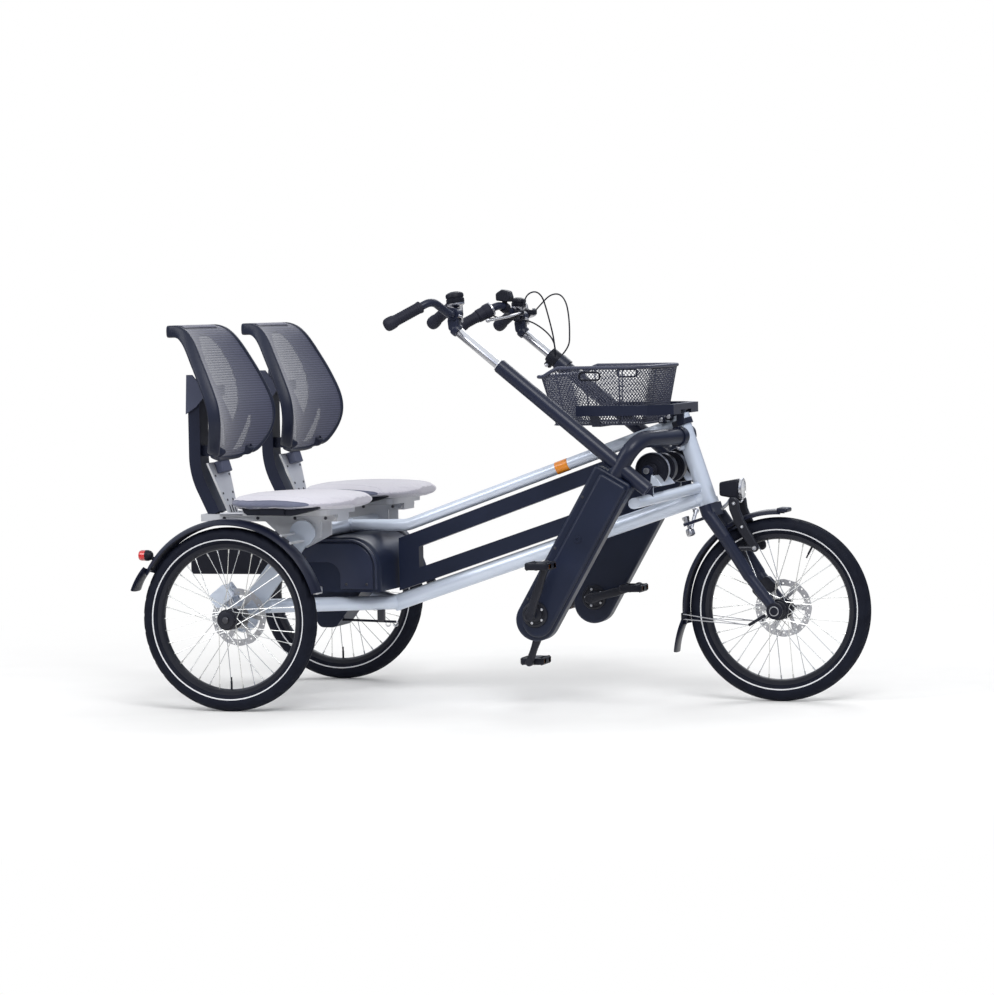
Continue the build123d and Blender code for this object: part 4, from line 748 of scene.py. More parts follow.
# Columns: share from the bottom, inner edge, outer edge
SMALL_WINDOW = ((0.065, 0.18, 0.50), (0.30, 0.46, 0.52))
ROWS, COLUMNS = 110, 76
for side_name, sign in SIDES:
    seat_side = sign * SEAT_SIDE
    points, windows = [], []
    for row in range(ROWS + 1):
        for column in range(COLUMNS + 1):
            points.append(back_point(row / ROWS, -1 + 2 * column / COLUMNS, seat_side))
    for row in range(ROWS):
        up = (row + 0.5) / ROWS
        long_half = table_value(WINDOW_EDGE, up, 1) if WINDOW_EDGE[0][0] < up < WINDOW_EDGE[-1][0] else -1
        share = (up - SMALL_WINDOW[0][0]) / (SMALL_WINDOW[1][0] - SMALL_WINDOW[0][0])
        inner, outer = [low + (high - low) * share for low, high in zip(*SMALL_WINDOW)][1:]
        for column in range(COLUMNS):
            across = abs(-1 + 2 * (column + 0.5) / COLUMNS)
            windows.append(across < long_half or (0 < share < 1 and inner < across < outer))
    faces = grid(ROWS, COLUMNS)
    panel = mesh_piece("backrest_panel_" + side_name, points, faces, BACK_MESH, "frame", 60.0)
    panel.data.materials.append(BACK_WINDOW)
    for polygon, window in zip(panel.data.polygons, windows):
        polygon.material_index = 1 if window else 0
    shell = panel.modifiers.new("thickness", "SOLIDIFY")
    shell.thickness = 0.003
    shell.offset = -1.0
    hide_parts("backrest_" + side_name)
    # Frame round the panel: deep black sides, a padded roll along the top
    ring = []
    turns = [turn * pi / 10 for turn in range(5)]
    ring.extend((row / ROWS, -1.0) for row in range(2, ROWS - 3))
    ring.extend((0.978 + 0.018 * sin(turn), -1.0 + 0.10 * (1 - cos(turn))) for turn in turns)
    ring.extend((0.996, -0.9 + 1.8 * column / 20) for column in range(1, 20))
    ring.extend((0.978 + 0.018 * sin(turn), 1.0 - 0.10 * (1 - cos(turn))) for turn in turns[::-1])
    ring.extend((row / ROWS, 1.0) for row in range(ROWS - 4, 1, -1))
    ring.extend((0.016 - 0.012 * sin(turn), 1.0 - 0.12 * (1 - cos(turn))) for turn in turns)
    ring.extend((0.004, -0.88 + 1.76 * column / 20) for column in range(19, 0, -1))
    ring.extend((0.016 - 0.012 * sin(turn), -1.0 + 0.12 * (1 - cos(turn))) for turn in turns[::-1])
    points = []
    route = [back_point(up, across, seat_side) for up, across in ring]
    for (up, across), place, tangent in zip(ring, route, closed_ways(route)):
        normal = back_normal(up, across, seat_side)
        normal = (normal - tangent * normal.dot(tangent)).normalized()
        outward = tangent.cross(normal)
        deep = 0.014 if up < 0.05 else 0.017
        middle = place - normal * (deep - 0.003)
        for x, y in circle(1.0, 16):
            points.append(middle + normal * deep * rounded(x, 0.6) + outward * 0.008 * rounded(y, 0.6))
    border = mesh_piece(
        "backrest_border_" + side_name, points, band(len(ring), 16, True), NAVY_PLASTIC, "frame", 50.0
    )
    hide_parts("backrest_" + side_name)

# Seat cushions: a pale top between dark side bolsters, puffed up by cloth; the steep walls wear a darker
# copy of the pale cloth as painted shade
CUSHION_TOP = 587
CUSHION_BOTTOM = 555
CUSHION_PLAN = (
    # ahead, half of the width, top drop at the sides, underside's rise at the sides
    (-8, 118, 6, 10), (3, 160, 6, 9), (18, 188, 5, 8), (40, 204, 5, 7), (100, 213, 5, 7),
    (170, 215, 6, 6), (225, 210, 8, 6), (270, 192, 9, 6), (305, 160, 8, 6), (326, 118, 7, 7),
    (338, 70, 6, 8)
)
BOLSTER_LINE = (
    # ahead, how far from the cushion's middle
    (-8, 100), (3, 142), (18, 170), (40, 187), (100, 197), (170, 201), (225, 200), (262, 194)
)
TOP_SEAM = ((262, 190), (235, 172), (180, 158), (100, 146), (4, 120))
ABOVE_CUSHION = 700
BOLSTER_FRONT = 262
BOLSTER_FALL = 120
INFLATE_CAP = 0.005


def cushion_start(seat_side):
    """The cushion before it is puffed up: stations along it, each a closed ring."""
    stations = 60
    ring = 48
    first, last = CUSHION_PLAN[0][0], CUSHION_PLAN[-1][0]
    points = []
    for index in range(stations + 1):
        ahead = first + (last - first) * index / stations
        half, drop, rise = smooth_between(CUSHION_PLAN, ahead)
        nose = 3.0 * max(0.0, (ahead - 250) / 90) ** 2
        crest = 12.0 * max(0.0, 1 - ((ahead - 165) / 195) ** 2)
        for across, up in circle(1.0, ring):
            off = abs(across) ** 0.34
            top = CUSHION_TOP - 3 - drop * off ** 3 - nose + crest * (1 - off ** 2.4)
            low = CUSHION_BOTTOM + 2 + rise * off ** 4
            height = (top + low) / 2 + (top - low) / 2 * rounded(up, 0.30)
            points.append(at(ahead, seat_side + half * rounded(across, 0.34), height))
    return points, band(stations + 1, ring)


def fabric(name, dark, light, weave):
    """Close-woven cover cloth with fine crossing threads."""
    material, tree, shader = node_group(name)
    place = node(tree, "TexCoord", {}, "Object")
    threads = []
    for direction in ("X", "Y"):
        inputs = {"Vector": place, "Scale": weave, "Distortion": 0.6, "Detail": 1.0}
        threads.append(node(tree, "TexWave", inputs, "Fac", bands_direction=direction))
    both = node(tree, "Math", {0: threads[0], 1: threads[1]}, operation="MULTIPLY")
    cloud = spread(tree, noise(tree, place, 9.0), 0.0, 0.5)
    total = node(tree, "Math", {0: both, 1: 0.5, 2: cloud}, operation="MULTIPLY_ADD")
    feed(
        tree, shader,
        {
            "Base Color": ramp(tree, total, ((0.2, dark), (0.8, light))), "Roughness": 0.85,
            "Sheen Weight": 0.3, "Normal": bump(tree, both, 0.35, 0.0003)
        }
    )
    return material


CUSHION_PALE = fabric("cushion_pale", (0.56, 0.55, 0.62), (0.66, 0.65, 0.72), 260.0)
# Darker copy of the pale cloth for the cushion's steep walls: painted shade where the sides face away from
# the light
CUSHION_WALL_SHADE = fabric("cushion_wall_shade", (0.40, 0.39, 0.46), (0.48, 0.47, 0.54), 260.0)
COVER_CLOTH = fabric("cover_cloth", (0.10, 0.105, 0.16), (0.16, 0.165, 0.23), 320.0)
CUSHION_DARK = fabric("cushion_dark", (0.115, 0.125, 0.19), (0.15, 0.165, 0.24), 260.0)


def remeshed(piece, voxel):
    """The piece's mesh made of even small cells."""
    modifier = piece.modifiers.new("cells", "REMESH")
    modifier.mode = "VOXEL"
    modifier.voxel_size = voxel
    mesh = evaluated_mesh(piece)
    piece.modifiers.clear()
    piece.data = mesh


def inflate(piece, pressure, cap, floor_height):
    """Puff a closed piece up with cloth; no point moves further than the cap."""
    starts = [vertex.co.copy() for vertex in piece.data.vertices]
    modifier = piece.modifiers.new("puff", "CLOTH")
    for setting, value in (
        ("quality", 5), ("mass", 0.3), ("tension_stiffness", 15), ("compression_stiffness", 15),
        ("bending_stiffness", 0.5), ("use_pressure", True), ("uniform_pressure_force", pressure)
    ):
        setattr(modifier.settings, setting, value)
    modifier.settings.effector_weights.gravity = 0
    scene = bpy.context.scene
    for step in range(1, 21):
        scene.frame_set(step)
    evaluated = piece.evaluated_get(bpy.context.evaluated_depsgraph_get())
    ends = [vertex.co.copy() for vertex in evaluated.data.vertices]
    piece.modifiers.clear()
    scene.frame_set(1)
    for vertex, start, end in zip(piece.data.vertices, starts, ends):
        move = end - start
        if move.length > cap:
            move = move.normalized() * cap
        place = start + move
        if start.z > floor_height - 0.001:
            place.z = max(place.z, floor_height)
        vertex.co = place


cushion = mesh_piece("cushion_start", *cushion_start(0), CUSHION_PALE, "frame", 180.0)
remeshed(cushion, 0.005)
inflate(cushion, 4.0, INFLATE_CAP, CUSHION_BOTTOM * MM - 0.004)
smoother = cushion.modifiers.new("smooth", "SUBSURF")
smoother.levels = 1
smoother.render_levels = 1
cushion_mesh = evaluated_mesh(cushion)
bpy.data.objects.remove(cushion)
cushion_mesh.materials.clear()
for material in (CUSHION_PALE, CUSHION_DARK, CUSHION_WALL_SHADE):
    cushion_mesh.materials.append(material)
for polygon in cushion_mesh.polygons:
    polygon.use_smooth = True
    place = polygon.center
    ahead = (place.x + REAR_AXLE_BACK) / MM
    fall = max(0.0, (ahead - BOLSTER_FALL) / (BOLSTER_FRONT - BOLSTER_FALL))
    inside = place.z / MM < CUSHION_TOP + 4 - 17 * fall ** 1.6
    outside = abs(place.y) / MM > table_value(BOLSTER_LINE, max(ahead, -8), 1)
    under = place.z / MM < CUSHION_BOTTOM + 6 and polygon.normal.z < -0.5
    if ahead < BOLSTER_FRONT and (outside and inside or under):
        polygon.material_index = 1
    # Faces that stand steep take the darker cloth: painted shade on the cushion's walls
    elif -0.6 < polygon.normal.z < 0.5:
        polygon.material_index = 2
for side_name, sign in SIDES:
    seat_side = sign * SEAT_SIDE
    mesh = cushion_mesh.copy()
    mesh.transform(Matrix.Translation(Vector((0, seat_side * MM, 0))))
    cushion = link_piece("seat_cushion_" + side_name + "_look", mesh, "frame")
    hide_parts("seat_cushion_" + side_name)
    # Seams along the bolsters and across the top, laid on the cushion's skin
    bpy.context.view_layer.update()
    for seam_name, seam, thick, material in (
        ("bolster", BOLSTER_LINE, 0.0016, CUSHION_DARK), ("top", TOP_SEAM, 0.0009, CUSHION_PALE)
    ):
        for way_name, way in (("out", 1), ("in", -1)):
            path = []
            for before, after in zip(seam, seam[1:]):
                for step in range(10):
                    ahead, off = [a + (b - a) * step / 10 for a, b in zip(before, after)]
                    origin = at(ahead, seat_side + way * off, ABOVE_CUSHION)
                    hit, place, normal, face = cushion.ray_cast(origin, Vector((0, 0, -1)))
                    if hit:
                        path.append(place)
            name = "seam_%s_%s_%s" % (seam_name, way_name, side_name)
            mesh_piece(name, *swept(path, circle(thick, 8)), material, "frame", 60.0)

# Basket of wire mesh in a tube rim
BASKET_FLOOR = 769
BASKET_RIM_FRONT = 932
BASKET_RIM_REAR = 908
BASKET_REAR, BASKET_FRONT = 850, 1096
BASKET_HALF, BASKET_FLARE = 158, 42
BASKET_GROWTH, BASKET_RAKE = 76, 8
BASKET_CORNER = 30
RIM_LOW_LENGTH, RIM_RISE_LENGTH = 25, 45
SIDE_WALLS_FROM = 150
WIRE_THICK = 0.0011
SLOT_AHEAD, SLOT_Z, SLOT_LENGTH, SLOT_HEIGHT = 965, 905, 58, 21


def basket_plan(share):
    """Rear and front ends, half width and corner radius at a share of the height."""
    middle = (BASKET_REAR + BASKET_FRONT) / 2 - BASKET_RAKE * share
    half_length = (BASKET_FRONT - BASKET_REAR + BASKET_GROWTH * share) / 2
    half = BASKET_HALF + BASKET_FLARE * share
    corner = BASKET_CORNER + BASKET_GROWTH / 2 * share
    return middle - half_length, middle + half_length, half, corner


def basket_ring(share):
    """A closed ring round the basket at a share of its height."""
    rear, front, half, corner = basket_plan(share)
    return round_rectangle(rear, front, -half, half, corner, 8)


def even_ring(outline, count):
    """A closed outline divided into even steps."""
    lengths = [0.0]
    closed = outline + [outline[0]]
    for a, b in zip(closed, closed[1:]):
        lengths.append(lengths[-1] + hypot(b[0] - a[0], b[1] - a[1]))
    places, index = [], 0
    for step in range(count):
        target = lengths[-1] * step / count
        while lengths[index + 1] < target:
            index += 1
        share = (target - lengths[index]) / (lengths[index + 1] - lengths[index])
        a, b = closed[index], closed[index + 1]
        places.append((a[0] + (b[0] - a[0]) * share, a[1] + (b[1] - a[1]) * share))
    return places


def rim_height(ahead):
    """The rim's height: level in front, lower at the rear."""
    share = (ahead - basket_plan(1.0)[0] - RIM_LOW_LENGTH) / RIM_RISE_LENGTH
    share = min(max(share, 0.0), 1.0)
    return BASKET_RIM_REAR - 4 + (BASKET_RIM_FRONT - BASKET_RIM_REAR) * share


def wire_network(name, columns, rows, place_of, keep):
    """Crossing wires: each cell of a grid gives its two diagonals as thin bars."""
    points, faces = [], []

    def wire(a, b):
        run = (b - a).normalized()
        side = run.orthogonal().normalized() * WIRE_THICK
        other = run.cross(side).normalized() * WIRE_THICK
        base = len(points)
        for end in (a, b):
            for vector in (side, other, -side, -other):
                points.append(end + vector)
        for corner in range(4):
            after = (corner + 1) % 4
            faces.append((base + corner, base + after, base + 4 + after, base + 4 + corner))

    for column in range(columns):
        for row in range(rows):
            if (column + row) % 2:
                a, b = (column, row), (column + 1, row + 1)
            else:
                a, b = (column + 1, row), (column, row + 1)
            ends = [place_of(*a), place_of(*b)]
            if keep(*ends):
                wire(*ends)
    return mesh_piece(name, points, faces, BASKET_WIRE, "frame", 180.0)


BASKET_ROWS = 28
BASKET_COLUMNS = 264
ring_tables = [even_ring(basket_ring(row / BASKET_ROWS), BASKET_COLUMNS) for row in range(BASKET_ROWS + 1)]


def wall_place(column, row):
    """A place on the basket's sloping wall."""
    x, y = ring_tables[row][column % BASKET_COLUMNS]
    height = BASKET_FLOOR + 2 + (BASKET_RIM_FRONT - BASKET_FLOOR - 4) * row / BASKET_ROWS
    return at(x, y, height)


def in_wall(a, b):
    """Wires stay under the rim and out of the finger slots."""
    middle = (a + b) / 2
    ahead = (middle.x + REAR_AXLE_BACK) / MM
    if middle.z / MM > rim_height(ahead):
        return False
    sideways = abs(middle.y) / MM > SIDE_WALLS_FROM
    in_length = abs(ahead - SLOT_AHEAD) < SLOT_LENGTH / 2 + 2
    in_height = abs(middle.z / MM - SLOT_Z) < SLOT_HEIGHT / 2 + 2
    return not (sideways and in_length and in_height)


wall = wire_network("basket_wall_mesh", BASKET_COLUMNS, BASKET_ROWS, wall_place, in_wall)
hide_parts("basket")
floor_columns, floor_rows = 36, 46


def floor_place(column, row):
    """A place on the basket's floor."""
    x = BASKET_REAR + (BASKET_FRONT - BASKET_REAR) * column / floor_columns
    y = -BASKET_HALF + 2 * BASKET_HALF * row / floor_rows
    return at(x, y, BASKET_FLOOR + 2)


wire_network("basket_floor_mesh", floor_columns, floor_rows, floor_place, lambda a, b: True)


def closed_tube(name, path, radius, material, body, count=16):
    """A round tube whose path closes on itself."""
    points = []
    for place, tangent in zip(path, closed_ways(path)):
        side = tangent.cross(Vector(UP)).normalized()
        other = side.cross(tangent)
        for x, y in circle(radius, count):
            points.append(place + side * x + other * y)
    return mesh_piece(name, points, band(len(path), count, True), material, body, 60.0)


# Tube rim, bottom ring and upright wires
rim_path = [at(x, y, rim_height(x)) for x, y in even_ring(basket_ring(1.0), 120)]
closed_tube("basket_rim", rim_path, 0.0050, BASKET_WIRE, "frame")
foot_path = [at(x, y, BASKET_FLOOR + 3) for x, y in even_ring(basket_ring(0.02), 96)]
closed_tube("basket_foot_ring", foot_path, 0.003, BASKET_WIRE, "frame")
for side_name, sign in SIDES:
    for index, (low_ahead, high_ahead) in enumerate(((885, 868), (958, 950), (1040, 1050))):
        top = rim_height(high_ahead)
        share = (top - BASKET_FLOOR) / (BASKET_RIM_FRONT - BASKET_FLOOR)
        tube(
            "basket_rib_%s_%d" % (side_name, index),
            [
                at(low_ahead, sign * BASKET_HALF, BASKET_FLOOR + 3),
                at(high_ahead, sign * (BASKET_HALF + BASKET_FLARE * share), top)
            ], 0.0021, 0, BASKET_WIRE, "frame", 10
        )
    # Framed finger slot
    share = (SLOT_Z - BASKET_FLOOR) / (BASKET_RIM_FRONT - BASKET_FLOOR)
    slot_middle = at(SLOT_AHEAD, sign * (BASKET_HALF + BASKET_FLARE * share), SLOT_Z)
    half_x, half_z = SLOT_LENGTH / 2, SLOT_HEIGHT / 2
    slot_path = []
    for x, z in round_rectangle(-half_x, half_x, -half_z, half_z, SLOT_HEIGHT / 2.4, 6):
        lean = BASKET_FLARE / (BASKET_RIM_FRONT - BASKET_FLOOR) * z
        slot_path.append(slot_middle + Vector((x * MM, sign * lean * MM, z * MM)))
    points = []
    for place, tangent in zip(slot_path, closed_ways(slot_path)):
        other = Vector(LEFT).cross(tangent)
        points.extend(place + Vector((0, 0.004 * x, 0)) + other * 0.0028 * y for x, y in circle(1.0, 10))
    slot_faces = band(len(slot_path), 10, True)
    mesh_piece("basket_slot_frame_" + side_name, points, slot_faces, BLACK_PLASTIC, "frame", 60.0)

# Mudguards with a domed section and turned-down edges
GUARD_CROWN = 0.2765
GUARD_THICK = 0.0022
TAIL_LAMP_ANGLE = 143


def guard_section(half_width, drop):
    """Half of a closed thin section: (reach, along)."""
    outer, inner = [], []
    steps = 18
    for index in range(steps + 1):
        share = -1 + 2 * index / steps
        fall = drop * abs(share) ** 3
        outer.append((GUARD_CROWN - fall, share * half_width))
        inner.append((GUARD_CROWN - GUARD_THICK - fall, share * (half_width - GUARD_THICK)))
    return outer + inner[::-1]


def mudguard(name, middle, start, end, half_width, drop, flap, flap_length, body):
    """A mudguard between two angles from level forward, with its lower flap."""
    piece = turned(
        name, guard_section(half_width, drop), middle, LEFT, GUARD_PLASTIC, body, 72, 90.0 - end,
        end - start, 50.0
    )
    way = ray(Vector((0, 0, 0)), flap, 1.0)
    foot = ray(middle, end, GUARD_CROWN - 0.004) - way * 0.012
    outward = way.cross(Vector(LEFT))
    points = []
    rows, columns = 10, 12
    for shift in (0.0, -0.003):
        for row in range(rows + 1):
            along = row / rows
            flare = 1.0 + 0.10 * along
            for column in range(columns + 1):
                share = -1 + 2 * column / columns
                curve = -drop * 0.75 * abs(share) ** 3 * (1 - 0.6 * along) + 0.016 * along ** 2
                sideways = Vector((0, share * half_width * flare, 0))
                points.append(foot + way * (flap_length * along) + sideways + outward * (curve + shift))
    size = (rows + 1) * (columns + 1)
    faces = grid(rows, columns)
    faces += [tuple(size + corner for corner in reversed(face)) for face in faces]
    rim = (
        list(range(columns + 1)) + [row * (columns + 1) + columns for row in range(1, rows + 1)]
        + [rows * (columns + 1) + column for column in range(columns - 1, -1, -1)]
        + [row * (columns + 1) for row in range(rows - 1, 0, -1)]
    )
    for a, b in zip(rim, rim[1:] + rim[:1]):
        faces.append((b, a, size + a, size + b))
    mesh_piece(name + "_flap", points, faces, GUARD_PLASTIC, body, 50.0)
    return piece


for side_name, sign in SIDES:
    middle = at(0, sign * HALF_TRACK, WHEEL_RADIUS)
    guard = mudguard("rear_mudguard_look_" + side_name, middle, 16, 152, 0.033, 0.014, 222, 0.072, "frame")
    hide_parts("rear_mudguard_" + side_name)
    # Bracket struts from the wheel carrier
    for angle in (49, 56):
        ends = [ray(middle, angle, 0.278, -sign * 0.100), ray(middle, angle, 0.278, sign * 0.006)]
        tube("guard_strut_%s_%d" % (side_name, angle), ends, 0.004, 0, SILVER_PLATE, "frame", 16)
    # Small end bracket with its bolt, low in front
    end_place = ray(middle, 17.5, 0.266, -sign * 0.010)
    box("guard_end_plate_" + side_name, end_place, (0.014, 0.046, 0.020), STEEL, "frame", None, 0.003)
    turned(
        "guard_end_bolt_" + side_name,
        ((0.0, 0.0), (0.005, 0.0), (0.006, 0.0015), (0.006, 0.0035), (0.0, 0.0045)),
        ray(middle, 17.5, 0.266, sign * 0.012), (0, sign, 0), STEEL, "frame", 18
    )
    # Tail lamp: black body, red lens
    lamp = ray(middle, TAIL_LAMP_ANGLE, GUARD_CROWN + 0.0148)
    lens = turned(
        "tail_lens_" + side_name,
        (
            (0.0, -0.034), (0.007, -0.0335), (0.0125, -0.031), (0.0148, -0.026), (0.0148, -0.012),
            (0.0, -0.012)
        ), lamp, ALONG, LENS_RED, "frame", 36
    )
    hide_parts("tail_lamps")
    turned(
        "tail_body_" + side_name,
        ((0.0, -0.013), (0.0152, -0.013), (0.0152, -0.006), (0.0125, 0.002), (0.008, 0.006), (0.0, 0.007)),
        lamp, ALONG, BLACK_PLASTIC, "frame", 36
    )
    tube(
        "tail_foot_" + side_name,
        [lamp + Vector((-0.004, 0, -0.004)), ray(middle, TAIL_LAMP_ANGLE, GUARD_CROWN - 0.002)], 0.0055, 0,
        BLACK_PLASTIC, "frame", 20
    )

guard = mudguard("front_mudguard_look", FRONT_AXLE, 88, 189, 0.029, 0.012, 243, 0.092, "fork")
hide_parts("front_mudguard")
# Pointed front end of the guard
box(
    "guard_nose", ray(FRONT_AXLE, 87, 0.2745), (0.030, 0.060, 0.012), GUARD_PLASTIC, "fork",
    Matrix.Rotation(radians(3), 3, "Y"), 0.004
)
for sign in (-1, 1):
    holder_start = ray(FRONT_AXLE, 203, 0.030, sign * 0.067)
    holder_end = ray(FRONT_AXLE, 208, 0.084, sign * 0.064)
    tube("stay_holder_%d" % (sign + 1), [holder_start, holder_end], 0.0042, 0, BLACK_PLASTIC, "fork", 16)
    for index, angle in enumerate((183, 186)):
        tube(
            "guard_stay_%d_%d" % (sign + 1, index),
            [
                holder_end, ray(FRONT_AXLE, angle, 0.262, sign * 0.036),
                ray(FRONT_AXLE, angle, 0.272, sign * 0.026)
            ], 0.0015, 0.006, STEEL, "fork", 10
        )
    box(
        "stay_clip_%d" % (sign + 1), ray(FRONT_AXLE, 184.5, 0.2705, sign * 0.024), (0.012, 0.010, 0.022),
        BLACK_PLASTIC, "fork", None, 0.002
    )

# Headlamp: box body, clear lens and silver bezel
HEADLAMP_PLACE = at(1318, 0, 586)
lamp_body = prism(
    "headlamp_body",
    [(-0.036, -0.018), (0.012, -0.027), (0.020, -0.027), (0.020, 0.027), (0.008, 0.027), (-0.036, 0.019)],
    HEADLAMP_PLACE, ALONG, UP, 0.052, BLACK_PLASTIC, "fork", 0.006
)
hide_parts("headlamp")
turned(
    "headlamp_bezel",
    (
        (0.0, 0.019), (0.0285, 0.019), (0.0300, 0.021), (0.0300, 0.0265), (0.0285, 0.028), (0.0260, 0.028),
        (0.0250, 0.024), (0.0, 0.024)
    ), HEADLAMP_PLACE, ALONG, STEEL, "fork", 48
)
turned(
    "headlamp_lens", ((0.0, 0.0225), (0.0255, 0.0225), (0.0255, 0.0265), (0.018, 0.0295), (0.0, 0.0305)),
    HEADLAMP_PLACE, ALONG, LENS_CLEAR, "fork", 48
)
tube(
    "headlamp_bracket", [at(1312, 0, 562), at(1300, 0, 545), at(1283, 0, 530)], 0.005, 0.012, STEEL, "fork",
    16
)
for index, left in enumerate((-6, 6)):
    arm_places = [at(1316, left, 560), at(1330, left, 540), at(1322, left, 520)]
    tube("headlamp_arm_%d" % index, arm_places, 0.0022, 0.008, STEEL, "fork", 10)

# Handlebars: telescopic chrome posts, black bars, grips, bells and controls
SLEEVE_SLOPE = radians(39.5)
POST_WAY = Vector((-cos(SLEEVE_SLOPE), 0, sin(SLEEVE_SLOPE)))
POST_UP = Vector((sin(SLEEVE_SLOPE), 0, cos(SLEEVE_SLOPE)))
STEM_RISE = 0.038
BAR_HOLE = 0.0112
# Along half of the bar, in millimetres: backwards, outward, up
BAR_POINTS = ((0, 0, 0), (0, 45, 0), (25, 115, 38), (131, 195, -28))
RIDERS = (
    # rider, side, body, post's length, length the right grip gives up, in metres
    ("copilot", -1, "frame", 0.700, 0.0), ("pilot", 1, "pilot_bar", 0.680, 0.042)
)
GRIP_LENGTH = 0.112


def grip_profile(length):
    """Half of a grip's section, ribbed, with a larger rounded end."""
    profile = [(0.0, 0.0), (0.0160, 0.0), (0.0168, 0.0015), (0.0168, 0.006), (0.0158, 0.008)]
    along = 0.012
    while along < length - 0.034:
        profile.extend(
            ((0.0158, along), (0.0150, along + 0.0008), (0.0150, along + 0.0024), (0.0158, along + 0.0032))
        )
        along += 0.0062
    profile.extend(
        (
            (0.0160, length - 0.030), (0.0178, length - 0.026), (0.0186, length - 0.018),
            (0.0186, length - 0.008), (0.0170, length - 0.002), (0.0130, length + 0.002),
            (0.0070, length + 0.0038), (0.0, length + 0.004)
        )
    )
    return profile


def post_place(sign, along):
    """A place on a handlebar post's line, in metres above its foot."""
    return at(1150, sign * SEAT_SIDE, 598) + POST_WAY * along


for rider, sign, body, post_length, given_up in RIDERS:
    low = post_place(sign, 0.0)
    top = post_place(sign, post_length)
    centre = top + Vector((0, 0, STEM_RISE))
    post = turned(
        rider + "_post",
        (
            (0.0, 0.040), (0.0135, 0.040), (0.0135, post_length - 0.004), (0.0115, post_length),
            (0.0, post_length)
        ), low, POST_WAY, CHROME, body, 48
    )
    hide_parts(rider + "_bar")
    # Stem: clamp head on the post, neck and bar clamp, quick-release
    turned(
        rider + "_post_head",
        (
            (0.0137, -0.016), (0.0170, -0.016), (0.0180, -0.013), (0.0180, -0.003), (0.0165, 0.001),
            (0.0, 0.002)
        ), top, POST_WAY, BLACK_PAINT, body, 40
    )
    prism(
        rider + "_stem_neck",
        [(-0.014, -0.006), (0.010, -0.014), (0.016, 0.0), (0.014, 0.040), (-0.012, 0.042), (-0.017, 0.020)],
        top, ALONG, UP, 0.030, BLACK_PAINT, body, 0.006
    )
    turned(
        rider + "_stem_clamp", sleeve_profile(BAR_HOLE, 0.0178, -0.020, 0.020, 0.0013, 0.002), centre, LEFT,
        BLACK_PAINT, body, 40
    )
    tube(
        rider + "_stem_lever",
        [
            centre + Vector((0.016, -0.018, -0.004)), centre + Vector((0.021, 0.0, -0.008)),
            centre + Vector((0.016, 0.020, -0.020))
        ], 0.0035, 0.014, STEEL, body, 16
    )
    for outward in (-1, 1):
        points = [
            centre + Vector((-back * MM, outward * out * MM, up * MM)) for back, out, up in BAR_POINTS
        ]
        tube(rider + "_bar_half_%d" % (outward + 1), points, 0.0110, 0.038, BLACK_PAINT, body, 32)
        end = points[-1]
        run = (points[3] - points[2]).normalized()
        length = GRIP_LENGTH - (given_up if outward < 0 else 0.0)
        grip = turned(
            rider + "_grip_%d" % (outward + 1), grip_profile(length), end - run * length, run, GRIP, body,
            40, sharp=24.0
        )
        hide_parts(rider + "_grips")

BELL_PROFILE = (
    # share of the radius, share of the height
    (0.0, 0.0), (0.80, 0.0), (0.95, 0.05), (1.0, 0.14), (1.0, 0.42), (0.93, 0.47), (0.93, 0.53),
    (1.0, 0.58), (1.0, 0.78), (0.92, 0.90), (0.72, 0.98), (0.40, 1.06), (0.0, 1.08)
)
for rider, sign, body, post_length, radius, height, tilt in (
    ("copilot", -1, "frame", 0.700, 0.025, 0.032, 8.0), ("pilot", 1, "pilot_bar", 0.680, 0.021, 0.026, -4.0)
):
    spot = post_place(sign, post_length) + Vector((0, -sign * 0.027, STEM_RISE))
    axis = Vector((-sin(radians(tilt)), 0, cos(radians(tilt))))
    turned(
        rider + "_bell_ring", sleeve_profile(BAR_HOLE, 0.0155, -0.0085, 0.0085, 0.0007, 0.0015), spot, LEFT,
        BLACK_PLASTIC, body, 36
    )
    dome = turned(
        rider + "_bell_dome", tuple((share * radius, up * height) for share, up in BELL_PROFILE),
        spot + axis * 0.028, axis, BLACK_PLASTIC, body, 56
    )
    turned(
        rider + "_bell_base",
        (
            (0.0, -0.016), (0.006, -0.016), (0.008, -0.010), (radius * 0.86, -0.005),
            (radius * 0.97, -0.002), (radius * 0.97, 0.002), (0.0, 0.002)
        ), spot + axis * 0.028, axis, STEEL, body, 48
    )
    if rider == "copilot":
        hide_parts("copilot_bell")

# The pilot's controls: twist shifter, brake levers, display and the collar
# that gathers the cables on the post
PILOT_CENTRE = post_place(1, 0.680) + Vector((0, 0, STEM_RISE))


def pilot_place(back, out, up):
    """A place near the pilot's bar: millimetres backwards, left and up from its middle."""
    return PILOT_CENTRE + Vector((-back * MM, out * MM, up * MM))


